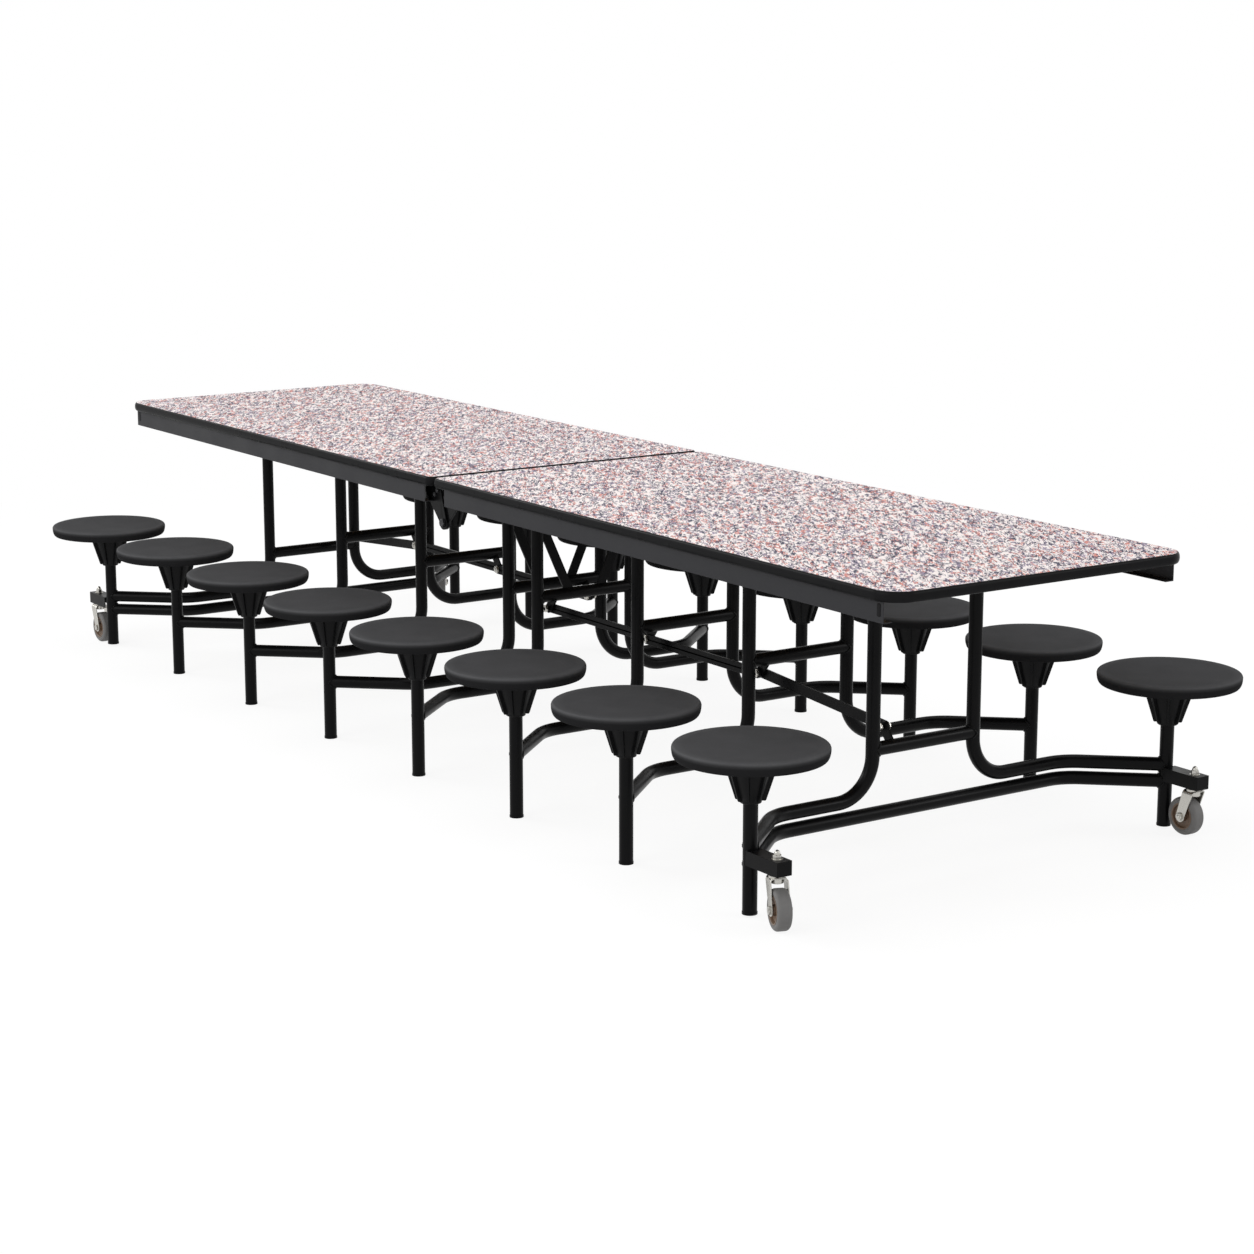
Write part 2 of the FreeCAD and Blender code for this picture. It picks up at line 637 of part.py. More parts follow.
def hinge_plates():
    """The centre hinge's plates: one against the rear channel, one against the first rail's front end."""
    height, reach, depth = size("hinge_height"), size("hinge_reach"), size("hinge_depth")
    radius, underside = size("hinge_radius"), size(UNDERSIDE)
    start = size("hinge_start")
    outline = [
        Vector(0, 0, height - radius),
        Vector(reach, 0, underside - depth),
        Vector(reach, 0, underside),
        Vector(start, 0, underside),
        Vector(-radius, 0, height),
    ]
    face = Part.Face(Part.makePolygon(outline + outline[:1]))
    plates = []
    for side, sign in SIDES.items():
        low_y = f"{sign} * {HINGE_SPREAD} + {HINGE_STEP} - hinge_plate / 2"
        sheet_metal = solid_of(f"hinge_sheet_{side}", face.extrude(Vector(0, size("hinge_plate"), 0)))
        sheet_metal.Placement = Placement(Vector(0, size(low_y), 0), Rotation())
        bore = "hinge_bolt / 2 + pin_clearance"
        eye = rod_y(f"hinge_eye_{side}", "hinge_radius", "0", low_y, "hinge_plate", "hinge_height")
        hole = rod_y(f"hinge_hole_{side}", bore, "0", low_y, "hinge_plate", "hinge_height")
        plates.append(cut(f"hinge_plate_{side}", fuse(f"hinge_blank_{side}", [sheet_metal, eye]), hole))
    return group("right_hinge_plates", plates)


def hinge_bolts():
    """A bolt at each side through the plates of both halves."""
    half = "(hinge_plate + hinge_gap)"
    bolts = []
    for side, sign in SIDES.items():
        middle = f"{sign} * {HINGE_SPREAD}"
        name = f"hinge_bolt_{side}"
        bolts.append(headed_pin(name, "hinge_bolt / 2", "0", middle, half, "hinge_height", "hinge_head / 2"))
    return group("hinge_bolts", bolts)


def caster_arms():
    """A channel from each end post out to its caster, open below."""
    arms = []
    x = stool_x(END_FRAME)
    inside = "(tube_diameter + 2 * arm_fit)"
    for side, sign in SIDES.items():
        low_y = f"{sign} * post_spread - {inside} / 2"
        low_z = "arm_top - arm_depth"
        low_x = f"{x} + arm_start"
        lengths = ("arm_length - arm_start", f"{inside} + 2 * arm_wall", "arm_depth")
        block = box(f"arm_block_{side}", lengths, (low_x, f"{low_y} - arm_wall", low_z))
        hollow_lengths = ("arm_length - arm_start - arm_wall", inside, "arm_depth - arm_wall")
        hollow = box(f"arm_hollow_{side}", hollow_lengths, (low_x, low_y, low_z))
        channel = cut(f"arm_channel_{side}", block, hollow)
        coped = cut(f"arm_coped_{side}", channel, post_core(END_FRAME, side, sign))
        base = (f"{x} + caster_reach", f"{sign} * post_spread", "arm_top - arm_depth")
        hole = rod(f"arm_hole_{side}", "stem_diameter / 2 + pin_clearance", "arm_depth", base)
        arms.append(cut(f"caster_arm_{side}", coped, hole))
    return group("right_caster_arms", arms)


def caster_masters():
    """One caster with its stem on the Z axis, trailing along +X: fork, axle, nut, tyre and core."""
    inner = "(wheel_width / 2 + fork_gap)"
    axle_z = "(wheel_diameter / 2)"
    crown = rod("fork_crown_disc", f"{inner} + fork_wall", "fork_crown", ("0", "0", "fork_top - fork_crown"))
    head_top = "(arm_top - arm_wall - swivel_gap)"
    head = rod("fork_head", "swivel_diameter / 2", f"{head_top} - fork_top", ("0", "0", "fork_top"))
    stem = rod("fork_stem", "stem_diameter / 2", f"arm_top + swivel_gap - {head_top}", ("0", "0", head_top))
    pieces = [crown, head, stem]
    shoulder = size("fork_shoulder / 2")
    trail, foot, level = size("caster_trail"), size("fork_foot"), size(axle_z)
    top, wall = size("fork_top"), size("fork_wall")
    outline = [Vector(-shoulder, 0, top), Vector(shoulder, 0, top), Vector(trail + foot, 0, level),
               Vector(trail - foot, 0, level)]
    face = Part.Face(Part.makePolygon(outline + outline[:1]))
    for side, low in (("near", f"-{inner} - fork_wall"), ("far", inner)):
        cheek = solid_of(f"fork_cheek_{side}", face.extrude(Vector(0, wall, 0)))
        cheek.Placement = Placement(Vector(0, size(low), 0), Rotation())
        foot_disc = rod_y(f"fork_foot_{side}", "fork_foot", "caster_trail", low, "fork_wall", axle_z)
        pieces += [cheek, foot_disc]
    low_y = f"-{inner} - fork_wall"
    span = f"2 * ({inner} + fork_wall)"
    axle_hole = rod_y("fork_axle_hole", "axle_diameter / 2", "caster_trail", low_y, span, axle_z)
    fork = cut("fork", fuse("fork_body", pieces), axle_hole)
    axle = headed_pin("axle", "axle_diameter / 2", "caster_trail", "0", f"({inner} + fork_wall)", axle_z)
    nut_z = "arm_top + swivel_gap"
    dome = rod("nut_blank", "nut_diameter / 2", "nut_height", ("0", "0", nut_z))
    nut_top = size(f"{nut_z} + nut_height")
    dome_round = size("(nut_diameter - nut_flat) / 2")
    nut = fillet("dome_nut", dome, lambda edge: dome_round if edge.BoundBox.ZMin > nut_top - 1 else None)
    rounds = {}
    radii = {"tread": "wheel_diameter / 2", "opening": "core_diameter / 2", "disc": "core_diameter / 2",
             "bore": "axle_diameter / 2 + pin_clearance"}
    for part, radius in radii.items():
        name = f"wheel_{part}"
        rounds[part] = rod_y(name, radius, "caster_trail", "-wheel_width / 2", "wheel_width", axle_z)
    tyre_round = size("tyre_round")
    rim = fillet("tyre_rim", rounds["tread"], lambda e: tyre_round if e.BoundBox.YLength < 1 else None)
    tyre = cut("tyre", rim, rounds["opening"])
    core = cut("core", rounds["disc"], rounds["bore"])
    return {"fork": fork, "axle": axle, "nut": nut, "tyre": tyre, "core": core}


def casters(masters):
    """Four casters, each turned to its own rest direction."""
    nodes = {}
    for place, trail in CASTER_TRAILS.items():
        half, side = place.split("_")
        toward = 1 if half == "right" else -1
        at = (f"{toward} * ({stool_x(END_FRAME)} + caster_reach)", f"{SIDES[side]} * post_spread", "0")
        turn = Rotation(Vector(0, 0, 1), trail)
        for node, pieces in CASTER_NODES.items():
            name = f"{place}_caster_{node}"
            copies = [copy_of(f"{place}_{piece}", masters[piece], at, turn) for piece in pieces]
            nodes[name] = group(name, copies)
    return nodes


def right_half():
    """Every sub-part of the +X half, by the name that both halves share."""
    nodes = tops()
    nodes["aprons"] = aprons()
    nodes["pivot_rails"] = group("right_pivot_rails", [pivot_rail(frame) for frame in FRAMES])
    nodes["pivot_pins"] = pivot_pins()
    nodes["hinge_plates"] = hinge_plates()
    nodes["caster_arms"] = caster_arms()
    for frame in FRAMES:
        nodes[f"legs_{frame}"] = legs(frame)
    masters = {"cap": foot_cap(), "seat": seat(), "hub": seat_hub(), "post": post("post", "0"),
               "end_post": post("end_post", "end_foot_gap")}
    nodes.update(stools(masters))
    for inner in FRAMES[:-1]:
        nodes[f"link_{inner}{inner + 1}"] = link(inner)
    return nodes


def left_half(nodes):
    """The same sub-parts turned half a turn about Z."""
    turned = {}
    for name, node in nodes.items():
        copy = copy_of(f"left_{name}", node, turn=HALF_TURN)
        turned[f"left_{name}"] = copy
    return turned


def check_and_write(nodes):
    """Stops on any failed object or bad shape, then writes one STEP file for each sub-part."""
    doc.recompute()
    failed = [o.Label for o in doc.Objects if "Invalid" in o.State or "Error" in o.State]
    if failed:
        raise RuntimeError(f"failed objects: {failed}")
    shapes = {}
    for name, node in nodes.items():
        shape = Part.getShape(node)
        if shape.isNull() or not shape.isValid() or not shape.Solids:
            raise RuntimeError(f"bad shape: {name}")
        shapes[name] = shape
    os.makedirs("parts", exist_ok=True)
    for name, shape in shapes.items():
        shape.exportStep(f"parts/{name}.step")
        print(f"{name}: {len(shape.Solids)} solids, {shape.Volume / 1000:.1f} cm3")


right = right_half()
sub_parts = {f"right_{name}": node for name, node in right.items()}
doc.recompute()
sub_parts.update(left_half(right))
sub_parts.update(casters(caster_masters()))
sub_parts["hinge_bolts"] = hinge_bolts()
for name, node in sub_parts.items():
    node.Label = name
check_and_write(sub_parts)
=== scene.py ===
import json
import math
from collections import namedtuple

import bmesh
import bpy
import numpy as np
from bpy.props import FloatProperty, FloatVectorProperty, IntProperty, PointerProperty
from mathutils import Matrix, Vector


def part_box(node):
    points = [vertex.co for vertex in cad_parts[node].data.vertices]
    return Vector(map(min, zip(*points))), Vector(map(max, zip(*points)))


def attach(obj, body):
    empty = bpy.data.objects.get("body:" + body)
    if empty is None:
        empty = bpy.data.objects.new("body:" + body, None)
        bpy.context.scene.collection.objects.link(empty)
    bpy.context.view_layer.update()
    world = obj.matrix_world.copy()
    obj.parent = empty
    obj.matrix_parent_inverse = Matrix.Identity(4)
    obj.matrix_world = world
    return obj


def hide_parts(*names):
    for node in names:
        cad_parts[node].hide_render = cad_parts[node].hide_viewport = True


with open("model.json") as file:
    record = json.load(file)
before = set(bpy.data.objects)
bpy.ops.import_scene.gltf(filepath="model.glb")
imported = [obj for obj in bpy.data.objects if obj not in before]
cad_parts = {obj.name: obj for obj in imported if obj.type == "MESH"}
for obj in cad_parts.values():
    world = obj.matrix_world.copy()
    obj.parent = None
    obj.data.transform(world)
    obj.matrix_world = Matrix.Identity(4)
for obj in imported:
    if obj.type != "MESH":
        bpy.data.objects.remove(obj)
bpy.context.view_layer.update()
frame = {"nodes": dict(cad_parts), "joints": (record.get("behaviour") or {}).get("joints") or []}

bl_info = {
    "name": "Mobile Cafeteria Table",
    "version": (1, 0, 0),
    "blender": (4, 5, 0),
    "location": "View3D > Sidebar > Table",
    "description": "Dresses a folding cafeteria table with its finishes, stools, fittings and stage",
    "category": "Object",
}

FRAMES = (1, 2, 3, 4)
END_FRAME = 4
SIDES = {"front": -1, "rear": 1}
# The left half is the right half turned half a turn about Z.
HALVES = {"right": np.array([1.0, 1.0, 1.0]), "left": np.array([-1.0, -1.0, 1.0])}
JOINTS = {joint["name"]: joint for joint in frame["joints"]}
UP = np.array([0.0, 0.0, 1.0])
# The seats' attribute for their painted light: tops paler than sides and a painted highlight along the
# rims, which also sets their gloss; and the share of painted light on the tops.
SEAT_LIGHT_MASK = "seat_painted_light_mask"
TOP_PAINTED_LIGHT = 0.32
# Bolts of a hinge plate: distance from the table's centre, and below the top.
PLATE_BOLTS = ((0.0225, 0.018), (0.035, 0.030))
LEG_FRAMES = [(half, number) for half in HALVES for number in FRAMES]
CASTERS = [f"{half}_{side}" for half in HALVES for side in SIDES]

# A grid of points whose columns close on themselves, and whose rows do if it is looped.
Surface = namedtuple("Surface", "points looped")


# Colours and sizes that a user would change

def opaque(channels):
    """A colour's red, green and blue with full alpha."""
    return (*channels, 1.0)


def linear(code):
    """An sRGB hex colour as linear red, green, blue and alpha."""
    channels = [int(code[start:start + 2], 16) / 255 for start in (1, 3, 5)]
    return opaque(c / 12.92 if c <= 0.04045 else ((c + 0.055) / 1.055) ** 2.4 for c in channels)


def colour(name, description, code):
    """A colour property with an sRGB hex default."""
    return FloatVectorProperty(name=name, description=description, subtype="COLOR", size=4, min=0.0,
                               max=1.0, default=linear(code))


def length(name, description, millimetres):
    """A length property with a default in millimetres."""
    return FloatProperty(name=name, description=description, default=millimetres / 1000, unit="LENGTH",
                         precision=5)


class TableColours(bpy.types.PropertyGroup):
    """Colours of the table's materials."""

    laminate: colour("Laminate", "Ground colour of the printed sheet", "#FFF5F3")
    fleck_dark: colour("Dark flecks", "Blue-grey flecks of the print", "#2F2F49")
    fleck_mid: colour("Grey flecks", "Lilac-grey flecks of the print", "#A294A8")
    fleck_red: colour("Red flecks", "Salmon flecks of the print", "#D98E82")
    board: colour("Board", "Particle board under the laminate", "#A98A63")
    vinyl: colour("Edge band", "Black vinyl round the tops", "#1E1E1F")
    paint: colour("Black paint", "Powder coat of tubes and plates", "#0E0E0F")
    # The aprons' paint is paler than the tubes' black paint: painted light on the channels' upright faces.
    apron: colour("Apron paint", "Powder coat of the side channels", "#2A2A2D")
    seat: colour("Seat", "Moulded seat plastic", "#272728")
    # Paler seat plastic: painted light on the seats' tops and a painted highlight along their rims.
    seat_painted_light_colour: colour("Seat painted light", "Seat plastic where light is painted on", "#707072")
    hub: colour("Hub", "Moulded hub plastic", "#111112")
    zinc: colour("Zinc", "Plated steel of casters and bolts", "#BCBAB4")
    oxide: colour("Black oxide", "Blackened bolts and screws", "#454547")
    tyre: colour("Tyre", "Grey caster tyre", "#757473")
    core: colour("Wheel core", "Bronze-brown wheel core", "#6F5947")


class TableSizes(bpy.types.PropertyGroup):
    """Sizes of what is added to the frame."""

    fleck_pitch: length("Fleck pitch", "Distance between flecks of the laminate", 12)
    fleck_stretch: FloatProperty(name="Fleck stretch", default=3.0,
                                 description="Flecks are this much longer than wide")
    fleck_slant: FloatProperty(name="Fleck slant", subtype="ANGLE", default=math.radians(146),
                               description="Way the flecks run, from the table's length")
    band_thick: length("Band thickness", "Edge band, outwards from the board", 6)
    corner_end: length("End corner", "Corner radius at the table's end", 65)
    corner_centre: length("Centre corner", "Corner radius beside the centre gap", 20)
    seat_thick: length("Seat thickness", "From a seat's top to its lower rim", 28)
    seat_dish: length("Seat dish", "Depth of the hollow in a seat's top", 2.0)
    seat_shoulder: length("Seat shoulder", "Rounding of a seat's rim, inwards", 6)
    seat_drop: length("Seat drop", "From a seat's top to its widest level", 7)
    seat_curl: length("Seat curl", "How far the rim turns under", 8)
    seat_wall: length("Seat wall", "Thickness of a seat's rim", 4)
    seat_skin: length("Seat skin", "Thickness of a seat's top", 8)
    seat_ribs: IntProperty(name="Seat ribs", description="Ribs under a seat", default=12)
    hub_top: length("Hub top", "Hub under the seat, across", 122)
    hub_foot: length("Hub foot", "Hub at its lower end, across", 64)
    hub_collar: length("Hub collar", "Collar below the hub's cone", 5)
    hub_ribs: IntProperty(name="Hub ribs", description="Ribs round a hub", default=8)
    hub_rib: length("Hub rib", "Depth of a hub's ribs", 8)
    tube: length("Tube", "Legs, arms, bars and posts, outside", 31.8)
    leg_spread: length("Leg spread", "Table centre line to a leg", 145)
    knee_spread: length("Knee spread", "Table centre line to where an arm bends to its stool", 419)
    arm_height: length("Arm height", "Floor to the arm's centre line", 150)
    tie_height: length("Tie height", "Floor to the end tie's centre line", 111)
    bar_height: length("Bar height", "Floor to the crossbar of the inner frames", 372)
    end_bar_height: length("End bar height", "Floor to the crossbar of the end frames", 258)
    bead: length("Weld bead", "Radius of a weld bead", 2.6)
    bead_pitch: length("Bead pitch", "Distance between a bead's ripples", 4)
    nut_flats: length("Nut flats", "Link, pivot and axle nuts across flats", 17)
    nut_height: length("Nut height", "Height of link, pivot and axle nuts", 5.6)
    pin_grip: length("Pin grip", "From a leg's middle to its pivot pin's head", 20.5)
    link_grip: length("Link grip", "From a link bracket's middle to its bolt's head", 9.5)
    pin_head: length("Pin head", "Height of the frame's own pin heads", 5)
    hinge_grip: length("Hinge grip", "From a hinge's middle to its bolt's head", 5.6)
    hinge_flats: length("Hinge nut flats", "Centre hinge nuts across flats", 19.5)
    hinge_plate: length("Hinge plate", "Thickness of a hinge plate", 5)
    plate_flats: length("Plate bolt flats", "Bolts of the hinge plates, across flats", 11)
    rail_height: length("Rail height", "Pivot rail, top to bottom", 38)
    rail_back: length("Rail back", "Leg pivot to its rail's middle", 30)
    dome_flats: length("Dome nut flats", "Caster dome nuts across flats", 16)
    dome_height: length("Dome nut height", "Caster dome nuts, over all", 19)
    arm_top: length("Caster arm top", "Floor to the caster arm's top", 146.5)
    fork_top: length("Fork top", "Floor to the caster fork's crown", 110)
    fork_wall: length("Fork wall", "Sheet of the caster fork", 3)
    fork_span: length("Fork span", "Caster fork over its cheeks", 41)
    fork_foot: length("Fork foot", "Caster fork round the axle, radius", 13)
    fork_shoulder: length("Fork shoulder", "Caster fork's cheek at the crown, half its width", 16)
    wheel_width: length("Wheel width", "Caster tyre, across", 32)
    core_radius: length("Core radius", "Caster wheel core", 31)
    sheet_round: length("Edge rounding", "Rounding of sheet metal edges", 0.8)


class TablePhoto(bpy.types.PropertyGroup):
    """The camera, as fitted to the picture of the table."""

    focal: FloatProperty(name="Focal length", description="In picture widths", default=2.2330)
    azimuth: FloatProperty(name="Azimuth", description="Camera's turn about Z", subtype="ANGLE",
                           default=math.radians(55.82))
    elevation: FloatProperty(name="Elevation", description="Camera's tilt down", subtype="ANGLE",
                             default=math.radians(11.92))
    place: FloatVectorProperty(name="Place", description="Camera's place", subtype="TRANSLATION",
                               default=(6.0691, -3.9390, 1.7909))


def colours():
    """The scene's table colours."""
    return bpy.context.scene.table_colours


def sizes():
    """The scene's table sizes."""
    return bpy.context.scene.table_sizes


# Surfaces as arrays

def unit(vectors):
    """Vectors scaled to length one."""
    return vectors / np.linalg.norm(vectors, axis=-1, keepdims=True)


def full_turn(steps):
    """Even angles round a full turn."""
    return np.linspace(0, 2 * np.pi, steps, endpoint=False)


def round_z(radius, angle, level):
    """Points round Z: x = radius x cos a, y = radius x sin a, z = level."""
    return np.stack([radius * np.cos(angle), radius * np.sin(angle), level + 0 * angle], axis=-1)


def lathe(profile, steps):
    """Each profile point, a radius and a height, carried round Z in even steps."""
    radius, height = np.array(profile).T[:, :, None]
    return Surface(round_z(radius, full_turn(steps), height), False)


def quarter(centre, reach, start, steps, sense=1):
    """A quarter ellipse from an angle in degrees, clockwise unless turned: centre + (a cos t, b sin t)."""
    angle = np.radians(np.linspace(start, start - 90 * sense, steps))
    return np.array(centre) + np.stack([np.cos(angle) * reach[0], np.sin(angle) * reach[1]], axis=-1)


def prism(sections):
    """Closed sections joined in order, with both ends drawn to their middle points."""
    sections = np.array(sections)
    first, last = [np.zeros_like(section) + section.mean(axis=0) for section in sections[[0, -1]]]
    return Surface(np.array([first, *sections, last]), False)


def bead(path, centre, radius, pitch):
    """A weld bead: a small circle carried along a closed path, whose radius swells by a sine at each
    ripple."""
    ripple, sides = 0.16, 8
    ahead = np.roll(path, -1, axis=0) - np.roll(path, 1, axis=0)
    tangent = unit(ahead)
    outward = path - centre
    outward = unit(outward - tangent * (outward * tangent).sum(axis=-1, keepdims=True))
    across = np.cross(tangent, outward)
    run = np.linalg.norm(ahead, axis=-1).cumsum() / 2
    swell = radius * (1 + ripple * np.sin(2 * np.pi * run / pitch))
    angle = full_turn(sides)[:, None]
    ring = np.cos(angle) * outward[:, None] + np.sin(angle) * across[:, None]
    return Surface(path[:, None] + swell[:, None, None] * ring, True)


def hex_nut(flats, height, washer, cap):
    """A washer, a hexagon whose corners are turned off by a cone, and a turned cap of radii and heights.
    The hexagon's radius is half its flats over the cosine of the angle from the nearest flat's middle."""
    steps, washer_height, bevel, sector = 48, 0.0014, math.tan(math.radians(30)), np.pi / 3
    angle = full_turn(steps)
    side = flats / 2 / np.cos((angle + sector / 2) % sector - sector / 2)
    face = np.minimum(side, flats * 0.48)
    rows = [
        (0, 0),
        (washer, 0),
        (washer, washer_height),
        (side, washer_height),
        (side, height - (side - face) * bevel),
        (face, height),
        *cap,
    ]
    radius, level = [np.array([part + 0 * angle for part in parts]) for parts in zip(*rows)]
    return Surface(round_z(radius, angle, level), False)


def plain_nut(flats, height):
    """A hexagon nut with the rounded end of its bolt standing out of it."""
    washer, thread, stub = flats * 0.62, flats * 0.28, flats * 0.12
    end = height + stub
    cap = [(thread, height), (thread, height + stub * 0.7), (thread * 0.8, end), (0.0, end)]
    return hex_nut(flats, height, washer, cap)


def bolt_head(flats, height):
    """A hexagon bolt head with a shallow dimple in its face."""
    washer, face, dimple = flats * 0.58, flats * 0.30, height * 0.12
    cap = [(face, height), (face * 0.8, height - dimple), (0.0, height - dimple)]
    return hex_nut(flats, height, washer, cap)


def dome_nut(flats, height):
    """A hexagon nut under a dome, whose profile is a quarter ellipse."""
    washer, collar, dome = flats * 0.58, height * 0.5, flats * 0.42
    cap = quarter((0.0, collar), (dome, height - collar), 0, 10, -1)
    return hex_nut(flats, collar, washer, cap)


def aimed(surface, place, axis):
    """The surface with its own Z turned to an axis and its origin moved to a place."""
    ahead = unit(np.array(axis, dtype=float))
    helper = np.array([1.0, 0.0, 0.0]) if abs(ahead[0]) < 0.9 else np.array([0.0, 1.0, 0.0])
    first = unit(np.cross(helper, ahead))
    basis = np.array([first, np.cross(ahead, first), ahead])
    return surface._replace(points=surface.points @ basis + np.array(place))


def moved(surface, place):
    """The surface moved to a place."""
    return surface._replace(points=surface.points + np.array(place))


def turned(surface, half):
    """A right-hand surface on its own half of the table."""
    return surface._replace(points=surface.points * HALVES[half])


def quads(surface, first):
    """Four corner numbers for each cell of a surface's grid, wrapped round where it closes."""
    rows, columns = surface.points.shape[:2]
    row = np.arange(rows if surface.looped else rows - 1)[:, None]
    column = np.arange(columns)
    here, below = row * columns, (row + 1) % rows * columns
    beside = (column + 1) % columns
    corners = [here + column, here + beside, below + beside, below + column]
    return first + np.stack(corners, axis=-1).reshape(-1, 4)


def new_object(name, data):
    """A new object in the scene."""
    item = bpy.data.objects.new(name, data)
    bpy.context.scene.collection.objects.link(item)
    return item


def make_piece(name, surfaces, recipe, body, replaced=()):
    """One object of several surfaces, closed at its seams and poles, that rides on a body."""
    seam, sharp = 1e-6, math.radians(35)
    points = [surface.points.reshape(-1, 3) for surface in surfaces]
    starts = np.cumsum([0] + [len(p) for p in points[:-1]])
    faces = np.concatenate([quads(surface, start) for surface, start in zip(surfaces, starts)])
    mesh = bpy.data.meshes.new(name)
    mesh.from_pydata(np.concatenate(points), [], faces)
    shell = bmesh.new()
    shell.from_mesh(mesh)
    bmesh.ops.remove_doubles(shell, verts=shell.verts, dist=seam)
    bmesh.ops.recalc_face_normals(shell, faces=shell.faces)
    shell.to_mesh(mesh)
    shell.free()
    mesh.shade_smooth()
    mesh.set_sharp_from_angle(angle=sharp)
    mesh.materials.append(finish(recipe))
    piece = new_object(name, mesh)
    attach(piece, body)
    if replaced:
        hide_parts(*replaced)
    return piece


# Materials

def add(tree, kind, inputs=None, **settings):
    """Adds a node, sets its attributes, and sets or links its inputs. A node that is given as an input
    stands for its first output."""
    node = tree.nodes.new(kind)
    for name, value in settings.items():
        setattr(node, name, value)
    for name, value in (inputs or {}).items():
        if isinstance(value, bpy.types.Node):
            value = value.outputs[0]
        if isinstance(value, bpy.types.NodeSocket):
            tree.links.new(value, node.inputs[name])
        else:
            node.inputs[name].default_value = value
    return node


def per_metre(millimetres):
    """A texture's scale for features of a real size."""
    return 1000 / millimetres


def new_material(name):
    """A material, its node tree, and the object coordinates, which are the tree's only node."""
    material = bpy.data.materials.new(name)
    material.use_nodes = True
    tree = material.node_tree
    tree.nodes.clear()
    return material, tree, add(tree, "ShaderNodeTexCoord").outputs["Object"]


def surface_of(material, settings, bump=None):
    """Ends a material: one principled shader, with bump as (height, distance) if given."""
    tree = material.node_tree
    inputs = dict(settings)
    if bump:
        height, distance = bump
        inputs["Normal"] = add(tree, "ShaderNodeBump", {"Height": height, "Distance": distance})
    shader = add(tree, "ShaderNodeBsdfPrincipled", inputs)
    add(tree, "ShaderNodeOutputMaterial", {"Surface": shader})
    return material


def laminate_print():
    """Decorative laminate: a pale pressed sheet with a print of short squiggles, under a satin wear
    layer."""
    material, tree, place = new_material("laminate_print")
    s = sizes()
    pitch = s.fleck_pitch * 1000
    # Real flecks are finer than a pixel from here, so they are drawn larger, and longer on the slant.
    spread = add(tree, "ShaderNodeMapping", {
        "Vector": place, "Rotation": (0.0, 0.0, s.fleck_slant), "Scale": (s.fleck_stretch, 1.0, 1.0),
    }, vector_type="TEXTURE")
    # Each layer of flecks: colour, seed, size in pitches, stroke width, and the share that is left out.
    layers = [
        ("fleck_mid", 3.1, 1.20, 0.055, 0.47),
        ("fleck_red", 7.7, 1.10, 0.055, 0.51),
        ("fleck_dark", 1.3, 1.00, 0.042, 0.47),
        ("fleck_dark", 5.9, 0.85, 0.042, 0.52),
    ]
    full, patch_seed, patch_size, patch_edge = 0.6, 20, 0.9, 0.03
    shade = colours().laminate
    for name, seed, coarse, width, share in layers:
        line = add(tree, "ShaderNodeTexNoise", {
            "Vector": spread, "W": seed, "Scale": per_metre(pitch * coarse),
            "Detail": 1.0, "Roughness": 0.6, "Distortion": 0.9,
        }, noise_dimensions="4D")
        away = add(tree, "ShaderNodeMath", {0: line, 1: 0.5}, operation="SUBTRACT")
        near = add(tree, "ShaderNodeMath", {0: away}, operation="ABSOLUTE")
        stroke = add(tree, "ShaderNodeMapRange", {
            "Value": near, "From Min": width * full, "From Max": width, "To Min": 1.0, "To Max": 0.0})
        patch = add(tree, "ShaderNodeTexNoise", {
            "Vector": spread, "W": seed + patch_seed,
            "Scale": per_metre(pitch * coarse * patch_size), "Detail": 0.0,
        }, noise_dimensions="4D")
        kept = add(tree, "ShaderNodeMapRange", {
            "Value": patch, "From Min": share - patch_edge, "From Max": share + patch_edge})
        amount = add(tree, "ShaderNodeMath", {0: stroke, 1: kept}, operation="MULTIPLY")
        layer = {0: amount, 6: shade, 7: getattr(colours(), name)}
        shade = add(tree, "ShaderNodeMix", layer, data_type="RGBA").outputs[2]
    return surface_of(material, {"Base Color": shade, "Roughness": 0.5, "Specular IOR Level": 0.08})


def mottled(name, shade, rough, grain_mm, patch_mm, relief_mm, drift=0.25, specular=0.5, metallic=0.0):
    """A moulded or sprayed finish: colour and gloss drift over patches, and a fine grain stands in
    relief."""
    material, tree, place = new_material(name)
    patch = add(tree, "ShaderNodeTexNoise", {"Vector": place, "Scale": per_metre(patch_mm), "Detail": 4.0})
    grain = add(tree, "ShaderNodeTexNoise", {"Vector": place, "Scale": per_metre(grain_mm), "Detail": 2.0})
    pale = opaque(min(1.0, c * (1 + drift)) for c in shade[:3])
    deep = opaque(c * (1 - drift) for c in shade[:3])
    tint = add(tree, "ShaderNodeMix", {0: patch, 6: deep, 7: pale}, data_type="RGBA")
    gloss = add(tree, "ShaderNodeMapRange", {
        "Value": patch, "From Min": 0.3, "From Max": 0.7, "To Min": rough[0], "To Max": rough[1]})
    settings = {
        "Base Color": tint.outputs[2],
        "Roughness": gloss,
        "Specular IOR Level": specular,
        "Metallic": metallic,
    }
    return surface_of(material, settings, (grain, relief_mm / 1000))


def black_powder_coat():
    """Gloss powder coat on steel tube: nearly black, with the faint orange peel of melted powder."""
    return mottled("black_powder_coat", colours().paint, (0.26, 0.38), 2.5, 60, 0.015, specular=0.08)


def charcoal_powder_coat():
    """Semi-matt powder coat on rolled channel, with a sandy grain: its charcoal, paler than the tubes'
    black, is painted light on the channels' upright faces.
    """
    return mottled("charcoal_powder_coat", colours().apron, (0.42, 0.55), 1.6, 90, 0.04, specular=0.2)


def vinyl_band():
    """Extruded vinyl: black, satin, slightly waxy."""
    return mottled("vinyl_band", colours().vinyl, (0.25, 0.35), 1.2, 45, 0.01, specular=0.03)


